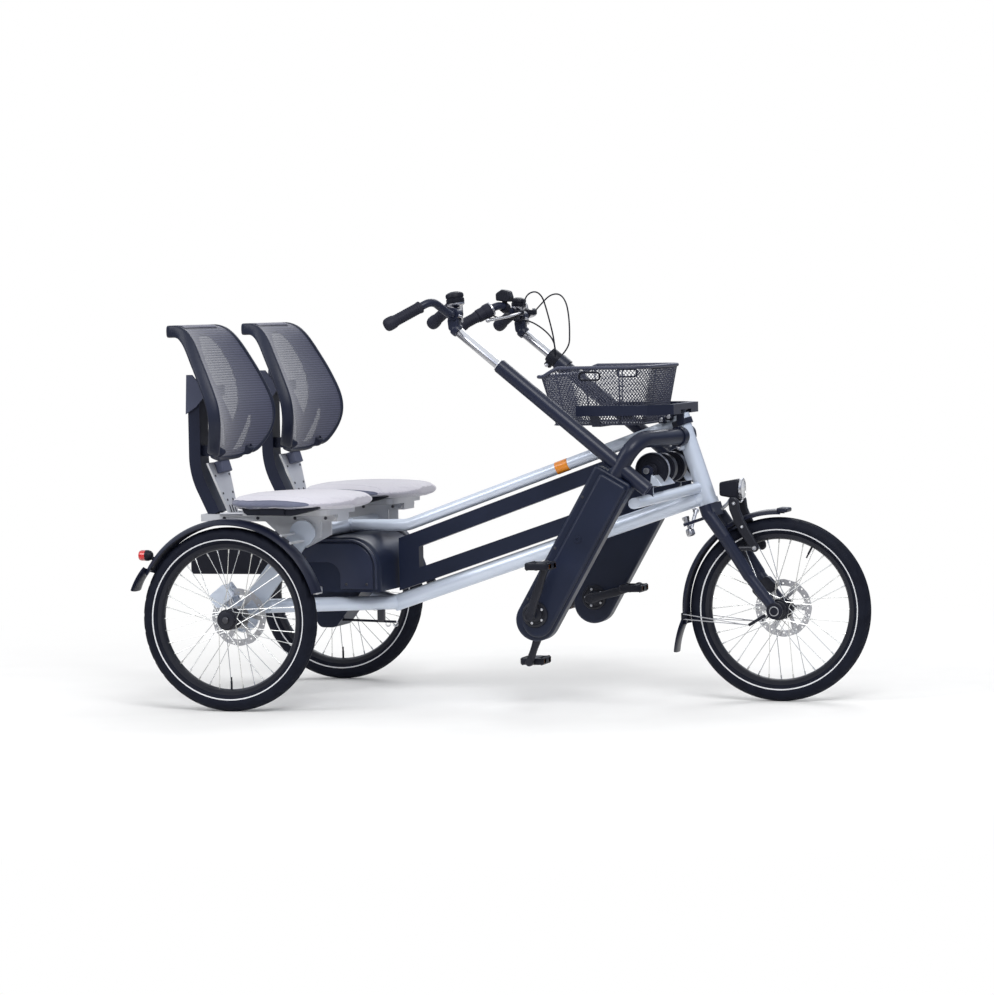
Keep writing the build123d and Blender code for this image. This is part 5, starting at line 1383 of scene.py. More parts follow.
shift_end = pilot_place(131, -195, -28)
shift_run = (shift_end - pilot_place(25, -115, 38)).normalized()
shift_start = shift_end - shift_run * GRIP_LENGTH
shifter = turned(
    "twist_shifter",
    (
        (BAR_HOLE, -0.004), (0.0170, -0.004), (0.0205, -0.001), (0.0215, 0.003), (0.0215, 0.014),
        (0.0200, 0.016), (0.0200, 0.019), (0.0188, 0.020), (0.0192, 0.030), (0.0188, 0.040),
        (0.0175, 0.0415), (BAR_HOLE, 0.0415)
    ), shift_start, shift_run, GRIP, "pilot_bar", 56, sharp=24.0
)
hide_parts("pilot_controls")
turned(
    "shifter_ring",
    ((BAR_HOLE, -0.0075), (0.0195, -0.0075), (0.0208, -0.006), (0.0208, -0.0015), (BAR_HOLE, -0.0015)),
    shift_start, shift_run, STEEL, "pilot_bar", 48
)
for outward in (-1, 1):
    foot = pilot_place(0, outward * 45, 0)
    bend = pilot_place(25, outward * 115, 38)
    spot = foot + (bend - foot) * 0.25
    bar_run = (bend - foot).normalized()
    turned(
        "lever_clamp_%d" % (outward + 1), sleeve_profile(BAR_HOLE, 0.0160, -0.009, 0.009, 0.0010, 0.002),
        spot, bar_run, BLACK_PLASTIC, "pilot_bar", 36
    )
    pivot = spot + Vector((0.027, 0, 0.004))
    box(
        "lever_perch_%d" % (outward + 1), spot + Vector((0.018, 0, 0.003)), (0.032, 0.020, 0.014),
        BLACK_PLASTIC, "pilot_bar", None, 0.003
    )
    knuckle = pilot_place(-8, outward * 112, 4)
    tip = pilot_place(50, outward * 155, -8)
    path = rounded_path([pivot, knuckle, tip], 0.060, 14)
    count = len(path)
    sizes = [1.0 + 0.25 * (index / count) for index in range(count)]
    blade = [(x * 0.0036, y * 0.0062) for x, y in circle(1.0, 24)]
    mesh_piece("brake_lever_%d" % (outward + 1), *swept(path, blade, sizes), STEEL, "pilot_bar", 50.0)
    turned(
        "lever_ball_%d" % (outward + 1),
        tuple((0.0070 * sin(radians(a)), -0.0070 * cos(radians(a))) for a in range(0, 181, 12)), tip,
        (tip - knuckle), STEEL, "pilot_bar", 28
    )
    turned(
        "lever_pin_%d" % (outward + 1), mirrored(((0.0, 0.010), (0.0045, 0.010))), pivot, UP, STEEL,
        "pilot_bar", 18
    )
display_run = pilot_place(25, -115, 38) - pilot_place(0, -45, 0)
display_spot = pilot_place(0, -45, 0) + display_run * 0.72
turned(
    "display_ring", sleeve_profile(BAR_HOLE, 0.0155, -0.0085, 0.0085, 0.0005, 0.0015), display_spot,
    display_run, BLACK_PLASTIC, "pilot_bar", 36
)
prism(
    "display_body",
    [(-0.021, -0.014), (0.016, -0.018), (0.023, -0.006), (0.017, 0.013), (-0.004, 0.018), (-0.022, 0.006)],
    display_spot + Vector((0, 0, 0.034)), ALONG, UP, 0.040, BLACK_PLASTIC, "pilot_bar", 0.004
)
prism(
    "display_glass", [(-0.0085, -0.0115), (0.0085, -0.0115), (0.0085, 0.0115), (-0.0085, 0.0115)],
    display_spot + Vector((-0.0135, 0, 0.0471)), Vector((-cos(radians(34)), 0, -sin(radians(34)))), LEFT,
    0.002, LENS_CLEAR, "pilot_bar", 0.0006
)
tube(
    "display_neck", [display_spot, display_spot + Vector((0, 0, 0.024))], 0.0075, 0, BLACK_PLASTIC,
    "pilot_bar", 20
)
collar_foot = post_place(1, 0.5353)
turned(
    "cable_collar",
    ((0.0137, 0.0), (0.0215, 0.0), (0.0225, 0.002), (0.0225, 0.031), (0.0212, 0.034), (0.0137, 0.034)),
    collar_foot, POST_WAY, BLACK_PLASTIC, "pilot_bar", 44
)
box(
    "collar_block", collar_foot + POST_WAY * 0.017 + Vector((-0.016, 0, -0.016)), (0.020, 0.020, 0.020),
    BLACK_PLASTIC, "pilot_bar", Matrix.Rotation(radians(39), 3, "Y"), 0.003
)
turned(
    "collar_screw", ((0.0, 0.0), (0.0045, 0.0), (0.0052, 0.001), (0.0052, 0.004), (0.0, 0.005)),
    collar_foot + POST_WAY * 0.017 + Vector((-0.020, -0.010, -0.021)), (0, -1, 0), STEEL, "pilot_bar", 18
)

# Cables from the controls to the collar. Columns: ahead, left, up
CABLE_ROUTES = (
    (
        "shift_cable", (576, 152, 1078), (596, 165, 1064), (628, 190, 1062), (664, 222, 1060),
        (698, 246, 1038), (728, 258, 1006), (736, 260, 972), (732, 267, 950)
    ),
    (
        "right_brake_cable", (648, 223, 1083), (652, 232, 1112), (658, 248, 1134), (676, 270, 1142),
        (692, 282, 1126), (701, 289, 1091), (712, 292, 1045), (722, 293, 1000), (724, 294, 965)
    ),
    (
        "left_brake_cable", (648, 348, 1083), (668, 354, 1106), (692, 357, 1130), (722, 354, 1134),
        (744, 345, 1111), (755, 334, 1070), (761, 320, 1022), (762, 308, 976), (735, 301, 950)
    )
)
CABLE_RADIUS = 0.0022
for cable_name, *places in CABLE_ROUTES:
    curve = bpy.data.curves.new(cable_name, "CURVE")
    curve.dimensions = "3D"
    curve.bevel_depth = CABLE_RADIUS
    curve.bevel_resolution = 3
    curve.resolution_u = 12
    curve.use_fill_caps = True
    spline = curve.splines.new("NURBS")
    spline.points.add(len(places) - 1)
    for point, place in zip(spline.points, places):
        point.co = (*at(*place), 1.0)
    spline.order_u = 3
    spline.use_endpoint_u = True
    curve.materials.append(BLACK_PLASTIC)
    cable = link_piece(cable_name, curve, "pilot_bar")
    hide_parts("pilot_cables")

# Chain cases: rounded body, raised cover with bevelled edges, boss
CASE_LEAN = radians(29.8)
CASE_UP = Vector((sin(CASE_LEAN), 0, cos(CASE_LEAN)))
CASE_ACROSS = Vector((cos(CASE_LEAN), 0, -sin(CASE_LEAN)))
CRANK_AXLE = at(838, 0, 262)
CASE_FOOT_AHEAD, CASE_FOOT_HEIGHT = 835, 245


def case_outline(radius, length, shift=0.0, corner=0.012):
    """A case's outline: a round foot and a squared top with small corners."""
    outline = arc_points((shift, 0), radius, 180, 360, 40)
    for across, start in ((shift + radius - corner, 0), (shift - radius + corner, 90)):
        outline += arc_points((across, length - corner), corner, start, start + 90, 8)
    return outline


for side_name, sign in SIDES:
    foot = at(CASE_FOOT_AHEAD, sign * SEAT_SIDE, CASE_FOOT_HEIGHT)
    body_case = prism(
        "chain_case_look_" + side_name, case_outline(0.058, 0.455), foot, CASE_ACROSS, CASE_UP, 0.050,
        CASE_PLASTIC, "frame", 0.007, 4
    )
    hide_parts("chain_case_" + side_name)
    outer = foot + Vector((0, sign * 0.025, 0))
    prism(
        "case_cover_" + side_name, case_outline(0.042, 0.445, 0.009, 0.010),
        outer + Vector((0, sign * 0.0055, 0)), CASE_ACROSS, CASE_UP, 0.019, CASE_PLASTIC, "frame", 0.008, 4
    )
    turned(
        "case_boss_" + side_name,
        (
            (0.0, 0.0), (0.0095, 0.0), (0.0095, 0.002), (0.0085, 0.0032), (0.0050, 0.0032),
            (0.0045, 0.0012), (0.0, 0.0012)
        ), outer + CASE_UP * 0.255 + Vector((0, sign * 0.0150, 0)), (0, sign, 0), CASE_PLASTIC, "frame", 32
    )
    for index, up in enumerate((0.04, 0.20, 0.36)):
        turned(
            "case_screw_%s_%d" % (side_name, index),
            (
                (0.0, 0.0), (0.0038, 0.0), (0.0038, 0.0010), (0.0020, 0.0014), (0.0018, 0.0005),
                (0.0, 0.0005)
            ), outer - CASE_ACROSS * 0.047 + CASE_UP * up, (0, sign, 0), DARK_STEEL, "frame", 16
        )
    # Chainring cover and bearing round the crank's axle
    for way, name, face in ((sign, "outer", 0.0400), (-sign, "inner", 0.0250)):
        turned(
            "case_bearing_%s_%s" % (name, side_name),
            (
                (0.0095, 0.0), (0.0340, 0.0), (0.0360, 0.0015), (0.0345, 0.0045), (0.0290, 0.0060),
                (0.0270, 0.0035), (0.0210, 0.0035), (0.0200, 0.0075), (0.0150, 0.0090), (0.0095, 0.0090)
            ), CRANK_AXLE + Vector((0, sign * SEAT_SIDE * MM + way * face, 0)), (0, way, 0), ALLOY_BLACK,
            "frame", 56
        )
        for bolt in range(5):
            angle = 72 * bolt + degrees(0.6)
            turned(
                "ring_bolt_%s_%s_%d" % (name, side_name, bolt),
                ((0.0, 0.0), (0.0036, 0.0), (0.0036, 0.0022), (0.0022, 0.0026), (0.0, 0.0018)),
                ray(CRANK_AXLE, angle, 0.0245, sign * SEAT_SIDE * MM + way * (face + 0.0035)), (0, way, 0),
                STEEL, "frame", 14
            )

# Crank arms, bowed and rounded, and their pedals
CRANK_LENGTH = 0.150
ARM_STATIONS = 18
CRANK_TABLE = (("right", -1, 70), ("left", 1, 194))
for side_name, sign, outer_angle in CRANK_TABLE:
    for arm_name, arm_side, away, angle in (
        ("inner", sign * 0.223, -sign, outer_angle + 180), ("outer", sign * 0.373, sign, outer_angle)
    ):
        way = ray(Vector((0, 0, 0)), angle, 1.0)
        across = way.cross(Vector(LEFT))
        start = CRANK_AXLE + Vector((0, arm_side + away * 0.008, 0))
        points = []
        for station in range(ARM_STATIONS + 1):
            share = station / ARM_STATIONS
            half_wide = 0.0130 - 0.0035 * share + 0.0008 * cos(4 * pi * share)
            half_deep = 0.0080 - 0.0012 * sin(pi * share)
            place = start + way * (CRANK_LENGTH * share)
            for x, y in circle(1.0, 24):
                side = Vector((0, half_deep * rounded(y, 0.55), 0))
                points.append(place + across * half_wide * rounded(x, 0.55) + side)
        faces = band(ARM_STATIONS + 1, 24)
        arm = mesh_piece(
            "crank_arm_%s_%s" % (side_name, arm_name), points, faces, ALLOY_BLACK, "crank_" + side_name,
            50.0
        )
        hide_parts("crank_" + side_name)
        for end_name, along, radius in (("root", 0.0, 0.0140), ("tip", CRANK_LENGTH, 0.0115)):
            turned(
                "crank_%s_%s_%s" % (end_name, side_name, arm_name),
                (
                    (0.0, -0.0085), (radius - 0.002, -0.0085), (radius, -0.0065), (radius, 0.0065),
                    (radius - 0.002, 0.0085), (radius * 0.55, 0.0085), (radius * 0.5, 0.0070), (0.0, 0.0070)
                ), start + way * along, (0, away, 0), ALLOY_BLACK, "crank_" + side_name, 36
            )
        pedal = "pedal_%s_%s" % (side_name, arm_name)
        pedal_side = arm_side + away * (0.016 + 0.003 + 0.046)
        pedal_middle = CRANK_AXLE + Vector((0, pedal_side, 0)) + way * CRANK_LENGTH
        tube(
            "pin_" + pedal, [start + way * CRANK_LENGTH, pedal_middle + Vector((0, away * 0.040, 0))],
            0.0055, 0, DARK_STEEL, "crank_" + side_name, 20
        )
        windows = [round_rectangle(-0.031, 0.031, -0.046, 0.046, 0.015, 6)]
        for middle in (-0.0165, 0.0165):
            windows.append(round_rectangle(middle - 0.0075, middle + 0.0075, -0.031, 0.031, 0.003, 4))
        body_plate = plate(
            pedal + "_body", windows, pedal_middle, ALONG, LEFT, 0.018, BLACK_PLASTIC, pedal, 0.003
        )
        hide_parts(pedal)
        for way_x in (-1, 1):
            for row in range(9):
                place = pedal_middle + Vector((way_x * 0.0275, -0.036 + row * 0.009, 0))
                box(
                    "%s_tread_%d_%d" % (pedal, way_x + 1, row), place, (0.004, 0.004, 0.0215),
                    BLACK_PLASTIC, pedal, None, 0.0008
                )
            for way_y in (-1, 1):
                box(
                    "%s_reflector_%d_%d" % (pedal, way_x + 1, way_y + 1),
                    pedal_middle + Vector((way_x * 0.0325, way_y * 0.022, 0)), (0.003, 0.020, 0.013),
                    REFLECTOR_ORANGE, pedal, None, 0.0006
                )
        turned(
            pedal + "_barrel",
            (
                (0.0062, -0.044), (0.0100, -0.044), (0.0105, -0.040), (0.0085, -0.030), (0.0085, 0.034),
                (0.0100, 0.042), (0.0062, 0.043)
            ), pedal_middle, LEFT, BLACK_PLASTIC, pedal, 28
        )

# Orange reflector band on the upper tube
UPPER_BEND, UPPER_TOP = at(366, 0, 486), at(1178, 0, 775)
LOWER_REAR, LOWER_FRONT = at(324, 0, 263.3), at(1241, 0, 569)
upper_way = (UPPER_TOP - UPPER_BEND).normalized()
band_middle = UPPER_BEND + upper_way * 0.490
turned(
    "reflector_band", mirrored(((0.0172, 0.019), (0.0178, 0.0185))), band_middle, upper_way,
    REFLECTOR_ORANGE, "frame", 64
)

# The pilot's post below its sleeve, with the lever that the tie rod moves
post_foot = post_place(1, 0.0)
turned(
    "steering_post_end",
    (
        (0.0, -0.002), (0.0133, -0.002), (0.0133, 0.026), (0.0168, 0.0), (0.0170, 0.002), (0.0170, 0.024),
        (0.0160, 0.026), (0.0, 0.030)
    ), post_foot, -POST_WAY, CHROME, "pilot_bar", 48
)
lever_root = post_foot - POST_WAY * 0.026
lever_outline = [(-0.017, 0.0), (-0.017, -0.010)]
lever_outline += [(x, -0.078 + y) for x, y in arc_points((0, 0), 0.009, 180, 360, 14)]
lever_outline += [(0.017, -0.010), (0.017, 0.0)]
lever_outline += arc_points((0, 0), 0.017, 0, 180, 16)[1:-1]
prism(
    "steering_post_lever", lever_outline, lever_root + POST_WAY * 0.004, LEFT, POST_UP, 0.008, STEEL,
    "pilot_bar", 0.0012
)
for spot, reach in ((0.0, 0.0075), (-0.078, 0.0055)):
    turned(
        "steering_lever_nut_%d" % round(reach * 10000), screw_profile(reach, 0.005, reach * 0.8, 0.0065),
        lever_root + POST_UP * spot, -POST_WAY, STEEL, "pilot_bar", 6, sharp=20.0
    )

# The co-pilot's arm and sleeve, without a clamp at the sleeve's end
SHOULDER_AHEAD, ARM_HEIGHT = 1118, 733
arm_foot = at(CASE_FOOT_AHEAD, -SEAT_SIDE, CASE_FOOT_HEIGHT) + CASE_UP * 0.432
head_spot = at(1186, 0, ARM_HEIGHT)
shoulder_spot = at(SHOULDER_AHEAD, -SEAT_SIDE, ARM_HEIGHT)
arm_start = head_spot + (shoulder_spot - head_spot).normalized() * 0.0262
arm_piece = tube(
    "arm_right_tube", [arm_start, shoulder_spot, arm_foot], 0.023, [0.062], BLACK_PAINT, "frame", 48
)
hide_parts("support_arm_right")
sleeve_piece = turned(
    "arm_right_sleeve",
    (
        (0.0148, 0.0), (0.0192, 0.0), (0.0200, 0.0008), (0.0200, 0.5342), (0.0192, 0.535), (0.0186, 0.535),
        (0.0184, 0.5372), (0.0148, 0.5372)
    ), post_place(-1, 0.0), POST_WAY, BLACK_PAINT, "frame", 56
)
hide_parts("support_arm_right")
turned(
    "arm_right_bushing",
    ((0.0146, 0.534), (0.0183, 0.534), (0.0183, 0.5388), (0.0176, 0.5395), (0.0146, 0.5395)),
    post_place(-1, 0.0), POST_WAY, SILVER_PLATE, "frame", 48
)
turned(
    "arm_right_lower_bushing", ((0.0142, -0.0006), (0.0183, -0.0006), (0.0183, 0.004), (0.0142, 0.004)),
    post_place(-1, 0.0), POST_WAY, SLATE, "frame", 48
)

# Collars where the two arms meet the head tube, and a chrome bolt behind it
for side_name, sign in SIDES:
    arm_way = (at(SHOULDER_AHEAD, sign * SEAT_SIDE, ARM_HEIGHT) - head_spot).normalized()
    turned(
        "arm_collar_" + side_name, sleeve_profile(0.0228, 0.0272, 0.030, 0.055, 0.0010, 0.003), head_spot,
        arm_way, BLACK_PAINT, "frame", 56
    )
HEAD_BOLT_PLACE, HEAD_BOLT_WAY = at(1178, -16, 703), (-0.55, -0.83, 0)
turned(
    "head_bolt_boss", screw_profile(0.0095, 0.010, 0.0080, 0.012), HEAD_BOLT_PLACE, HEAD_BOLT_WAY, SILVER,
    "frame", 32
)
turned(
    "head_bolt",
    ((0.0, 0.012), (0.0072, 0.012), (0.0074, 0.014), (0.0068, 0.018), (0.0045, 0.0205), (0.0, 0.0215)),
    HEAD_BOLT_PLACE, HEAD_BOLT_WAY, CHROME, "frame", 32
)
for index, (ahead, up) in enumerate(((1124, 779), (1146, 787))):
    turned(
        "clamp_bolt_%d" % index,
        (
            (0.0, 0.0), (0.0062, 0.0), (0.0064, 0.0015), (0.0064, 0.0075), (0.0052, 0.0095),
            (0.003, 0.0095), (0.003, 0.007), (0.0, 0.007)
        ), at(ahead, -32, up), (0, -1, 0), CHROME, "frame", 28
    )
    box(
        "clamp_bolt_block_%d" % index, at(ahead, -22, up), (0.020, 0.022, 0.020), BLACK_PAINT, "frame",
        None, 0.003
    )

# Layshaft with rimmed pulleys, and the bent sheet in front of it
shaft_spot = at(1128, 0, 646)
shaft_piece = turned(
    "layshaft_bar", mirrored(((0.0, 0.222), (0.0072, 0.222), (0.0080, 0.2212))), shaft_spot, LEFT, STEEL,
    "layshaft", 32
)
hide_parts("layshaft")
for index, (side, reach, width) in enumerate(
    ((-0.150, 0.048, 0.016), (-0.052, 0.042, 0.030), (0.052, 0.042, 0.030), (0.150, 0.048, 0.016))
):
    half = width / 2
    turned(
        "layshaft_pulley_%d" % index,
        mirrored(
            (
                (0.0078, half + 0.010), (0.0150, half + 0.010), (0.0170, half + 0.008),
                (0.0170, half - 0.002), (reach * 0.62, half - 0.002), (reach * 0.66, half - 0.004),
                (reach * 0.86, half - 0.004), (reach - 0.0040, half), (reach - 0.0010, half)
            )
        ), shaft_spot + Vector((0, side, 0)), LEFT, BLACK_PLASTIC, "layshaft", 72
    )
    turned(
        "layshaft_rim_%d" % index, mirrored(((reach - 0.0030, half - 0.001), (reach, half - 0.0015))),
        shaft_spot + Vector((0, side, 0)), LEFT, STEEL if abs(side) > 0.1 else DARK_STEEL, "layshaft", 72
    )
for side_name, sign in SIDES:
    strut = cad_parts["side_strut_" + side_name]
    strut.data.materials.append(BLACK_PAINT)
    for polygon in strut.data.polygons:
        if abs(abs(polygon.center.y) - 0.205) < 0.006 and polygon.center.z > 0.598:
            polygon.material_index = 1
    prism(
        "shaft_gusset_" + side_name, [(0.0, 0.0), (0.030, 0.0), (0.008, 0.030), (0.004, 0.030)],
        at(1137, sign * 214, 605), ALONG, UP, 0.004, SILVER, "frame", 0.0008
    )
    sheet_way = (at(1146, 0, 636) - at(1170, 0, 607)).normalized()
    prism(
        "shaft_sheet_" + side_name, [(-0.072, 0.0), (0.072, 0.0), (0.064, 0.034), (-0.064, 0.036)],
        at(1168, sign * 138, 605), LEFT, sheet_way, 0.003, SILVER, "frame", 0.0008
    )

# Drive housing: a raised rim round each side face and a raised panel in it, both in a lighter copy of the
# case plastic that is a painted highlight
HOUSING_SIDE = 170.5
for side_name, sign in SIDES:
    arch = rounded_path(
        [
            at(90, sign * HOUSING_SIDE, 418), at(148, sign * HOUSING_SIDE, 453),
            at(327, sign * HOUSING_SIDE, 453), at(327, sign * HOUSING_SIDE, 316)
        ], [0.040, 0.078], 14
    )
    # The rim takes the lighter case plastic, a painted highlight along it
    mesh_piece(
        "housing_rim_" + side_name,
        *swept(arch, [(0.0050 * x, 0.0032 * y) for x, y in circle(1.0, 16)], None, Vector(LEFT)),
        CASE_HIGHLIGHT, "frame"
    )
    panel = [(0.222, 0.316), (0.222, 0.352)]
    panel += arc_points((0.182, 0.352), 0.040, 0, 90, 10)
    panel += [(0.104, 0.392), (0.104, 0.418), (0.150, 0.444), (0.250, 0.444)]
    panel += arc_points((0.250, 0.376), 0.068, 90, 0, 16)
    panel += [(0.318, 0.316)]
    origin = at(0, sign * (HOUSING_SIDE + 0.1), 0)
    outline = panel if sign > 0 else list(reversed(panel))
    prism("housing_panel_" + side_name, outline, origin, ALONG, UP, 0.0036, CASE_HIGHLIGHT, "frame", 0.0012)
    for spot in ((118, 404), (300, 330), (240, 330)):
        turned(
            "housing_screw_%s_%d" % (side_name, spot[0]), screw_profile(0.0042, 0.0012, 0.0030, 0.0024),
            at(spot[0], sign * (HOUSING_SIDE + 1.5), spot[1]), (0, sign, 0), DARK_STEEL, "frame", 20
        )
# Rod with two eyes under the housing
tube("lock_rod", [at(168, -40, 219), at(340, -40, 214)], 0.0035, [], BLACK_PLASTIC, "frame", 16)
for ahead in (316, 338):
    eye = [at(ahead, -40, 208) + Vector((x, 0, z)) for x, z in circle(0.007, 20)]
    closed_tube("rod_eye_%d" % ahead, eye, 0.0018, STEEL, "frame", 10)
box("rod_holder", at(296, -40, 233), (0.020, 0.016, 0.036), DARK_STEEL, "frame", None, 0.002)

# Main tubes with even skins, and their weld beads
upper_skin = tube(
    "upper_tube_skin", [at(178, 0, 486), UPPER_BEND, UPPER_TOP], 0.017, 0.090, SILVER, "frame", 56
)
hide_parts("upper_tube")
lower_skin = tube("lower_tube_skin", [LOWER_REAR, LOWER_FRONT], 0.023, 0, SILVER, "frame", 64)
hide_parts("lower_tube")


def weld(name, middle, reach, axis, thick=0.0016):
    """A silver weld bead round a tube's end."""
    axis = Vector(axis).normalized()
    first = axis.cross(Vector(LEFT)).normalized()
    second = axis.cross(first)
    path = []
    for index in range(72):
        angle = 2 * pi * index / 72
        place = middle + (first * cos(angle) + second * sin(angle)) * (reach + 0.0004 * sin(23 * angle))
        path.append(place)
    closed_tube(name, path, thick, SILVER, "frame", 8)


lower_way = (LOWER_FRONT - LOWER_REAR).normalized()
for name, middle, reach, way in (
    ("weld_upper_front", UPPER_TOP - upper_way * 0.031, 0.0172, upper_way),
    ("weld_lower_front", LOWER_FRONT - lower_way * 0.029, 0.0232, lower_way),
    ("weld_lower_rear", at(332, 0, 266), 0.0230, lower_way),
    ("weld_upper_rear", at(200, 0, 486), 0.0172, ALONG)
):
    weld(name, middle, reach, way)
for side_name, sign in SIDES:
    weld("weld_beam_" + side_name, at(178, sign * 20, 484), 0.0212, LEFT, 0.0015)

# Seats: black tray under each cushion, braces, hinges, screws and bolts
COVER_ROWS = (0.905, 0.93, 0.955, 0.98, 0.995)
COVER_COLUMNS = 24
BRACE_TURN = Matrix.Rotation(-0.31, 3, "Y")
for side_name, sign in SIDES:
    seat = sign * SEAT_SIDE
    tray = [
        (0.046, 0.563), (0.052, 0.548), (0.062, 0.541), (0.190, 0.539), (0.205, 0.542), (0.268, 0.558),
        (0.272, 0.563)
    ]
    prism("seat_tray_" + side_name, tray, at(0, seat, 0), ALONG, UP, 0.372, BLACK_PLASTIC, "frame", 0.004)
    for way in (-1, 1):
        box(
            "seat_side_block_%s_%d" % (side_name, way + 1), at(138, seat + way * 188, 553),
            (0.070, 0.010, 0.024), SLATE if way * sign < 0 else BLACK_PLASTIC, "frame", None, 0.003
        )
        box(
            "seat_slide_%s_%d" % (side_name, way + 1), at(96, seat + way * 52, 536), (0.330, 0.012, 0.010),
            STEEL, "frame", None, 0.0015
        )
        turned(
            "seat_hinge_%s_%d" % (side_name, way + 1),
            (
                (0.0, 0.0), (0.0100, 0.0), (0.0105, 0.001), (0.0105, 0.009), (0.0095, 0.010),
                (0.0045, 0.010), (0.0045, 0.013), (0.0, 0.013)
            ), at(262, seat + way * 46, 529), (0, way, 0), STEEL, "frame", 32
        )
        for ahead in (-60, 40, 150, 240):
            turned(
                "rail_screw_%s_%d_%d" % (side_name, way + 1, ahead + 60),
                screw_profile(0.0045, 0.0025, 0.0030, 0.0042), at(ahead, seat + way * 45, 525), (0, way, 0),
                DARK_STEEL, "frame", 20
            )
    turned(
        "seat_hinge_pin_" + side_name, mirrored(((0.0, 0.046), (0.0075, 0.046))), at(262, seat, 529), LEFT,
        DARK_STEEL, "frame", 28
    )
    box(
        "seat_release_" + side_name, at(236, seat - 30, 541), (0.052, 0.030, 0.012), SILVER_PLATE, "frame",
        None, 0.003
    )
    # Brace: slate block at its head, screws on its face and slots at its foot, drawn as thin black inserts
    # whose colour is painted shade in the slots
    brace_foot = at(-50, seat, 536)
    brace_way = (at(-96, seat, 680) - brace_foot).normalized()
    brace_out = Vector((brace_way.z, 0, -brace_way.x))
    box(
        "brace_block_" + side_name, brace_foot + brace_way * 0.134 + brace_out * 0.014,
        (0.022, 0.066, 0.034), SLATE, "frame", BRACE_TURN, 0.003
    )
    for way_up, way_out in (
        (0.112, 0.052), (0.112, -0.052), (0.060, 0.036), (0.060, -0.036), (0.040, 0.020), (0.040, -0.020)
    ):
        turned(
            "brace_screw_%s_%d_%d" % (side_name, round(way_up * 1000), round(way_out * 1000) + 60),
            screw_profile(0.0036, 0.0012, 0.0024, 0.0022),
            brace_foot + brace_way * way_up + brace_out * 0.003 + Vector((0, way_out, 0)), brace_out,
            DARK_STEEL, "frame", 20
        )
    # Each slot is a thin black insert on the face: painted shade standing in for the dark inside of the
    # hole
    for slot_place, slot_side in enumerate((-0.018, 0.0, 0.018)):
        box(
            "brace_slot_shade_%s_%d" % (side_name, slot_place),
            brace_foot + Vector((0, slot_side, 0)) + brace_way * 0.014 + brace_out * 0.0032,
            (0.0024, 0.005, 0.022), BLACK_PLASTIC, "frame", BRACE_TURN, 0.0008
        )
    # Slate bracket plates between the spine bar and the backrest
    for way in (-1, 1):
        prism(
            "spine_bracket_%s_%d" % (side_name, way + 1),
            [
                (-0.172, 0.815), (-0.140, 0.835), (-0.112, 0.868), (-0.118, 0.886), (-0.150, 0.925),
                (-0.168, 0.925)
            ], at(0, seat + way * 36, 0), ALONG, UP, 0.005, SLATE, "frame", 0.001
        )
    prism(
        "spine_cap_" + side_name, [(-0.0165, -0.031), (0.0165, -0.031), (0.0165, 0.031), (-0.0165, 0.031)],
        at(-150, seat, 906), ALONG, LEFT, 0.004, SLATE, "frame", 0.0015
    )
    # Folded cover over the top of the backrest's mesh
    cover_points = []
    for row, up in enumerate(COVER_ROWS):
        for column in range(COVER_COLUMNS + 1):
            place = back_point(up, -0.80 + 1.60 * column / COVER_COLUMNS, seat)
            lift = 0.0034 if row == 1 else 0.0022
            cover_points.append(place + Vector((0.25, 0, 0.97)) * lift)
    cover = mesh_piece(
        "backrest_cover_" + side_name, cover_points, grid(len(COVER_ROWS) - 1, COVER_COLUMNS), COVER_CLOTH,
        "frame", 60.0
    )
    thicken = cover.modifiers.new("thick", "SOLIDIFY")
    thicken.thickness = 0.0012
    thicken.offset = 0.0

# Front end: oval fork blades, axle caps, rim brake arms and the tie rod's ball joint
BLADE_SECTION = [(0.0156 * x, 0.0182 * y) for x, y in circle(1.0, 36)]
BRAKE_ARM_OUTLINE = (
    (1333, 566), (1342, 557), (1345, 532), (1356, 505), (1371, 478), (1384, 455), (1396, 434), (1397, 422),
    (1389, 414), (1378, 415), (1362, 440), (1344, 467), (1328, 498), (1316, 531), (1313, 557), (1320, 566)
)
for tag, sign in SIDES:
    blade_path = rounded_path(
        [
            at(1263, sign * 60, 515), at(1306, sign * 60, 454), at(1375, sign * 60, 345),
            at(1426, sign * 60, 278)
        ], 0.09, 10
    )
    last = len(blade_path) - 1
    blade_sizes = [1.0 - 0.22 * (index / last) ** 2 for index in range(last + 1)]
    mesh_piece(
        "fork_blade_skin_" + tag, *swept(blade_path, BLADE_SECTION, blade_sizes, Vector(LEFT)), BLACK_PAINT,
        "fork"
    )
    cap_start = FRONT_AXLE + Vector((0, sign * 0.0644, 0))
    turned(
        "axle_cap_" + tag,
        (
            (0.0, 0.0), (0.0225, 0.0), (0.0225, 0.0105), (0.0205, 0.0123), (0.0150, 0.0125),
            (0.0145, 0.0141), (0.0098, 0.0143), (0.0092, 0.0173), (0.0, 0.0177)
        ), cap_start, (0, sign, 0), BLACK_PLASTIC, "fork", 48
    )
    turned(
        "axle_ring_" + tag,
        ((0.0108, 0.0135), (0.0134, 0.0135), (0.0134, 0.0149), (0.0128, 0.0155), (0.0112, 0.0155)),
        cap_start, (0, sign, 0), STEEL, "fork", 48
    )
    prism(
        "brake_arm_" + tag,
        [((ahead - 1355) / 1000, (height - 490) / 1000) for ahead, height in BRAKE_ARM_OUTLINE],
        at(1355, sign * 44, 490), ALONG, UP, 0.0155, ALLOY_BLACK, "fork", 0.0045, 4
    )
    for index, (ahead, height, reach) in enumerate(
        ((1386, 425, 0.0062), (1352, 484, 0.0045), (1330, 548, 0.0050))
    ):
        turned(
            "brake_pin_%s_%d" % (tag, index),
            (
                (0.0, 0.0), (reach, 0.0), (reach, 0.0028), (reach - 0.0010, 0.0040), (reach * 0.4, 0.0040),
                (0.0, 0.0030)
            ), at(ahead, sign * 51.6, height), (0, sign, 0), STEEL, "fork", 24
        )
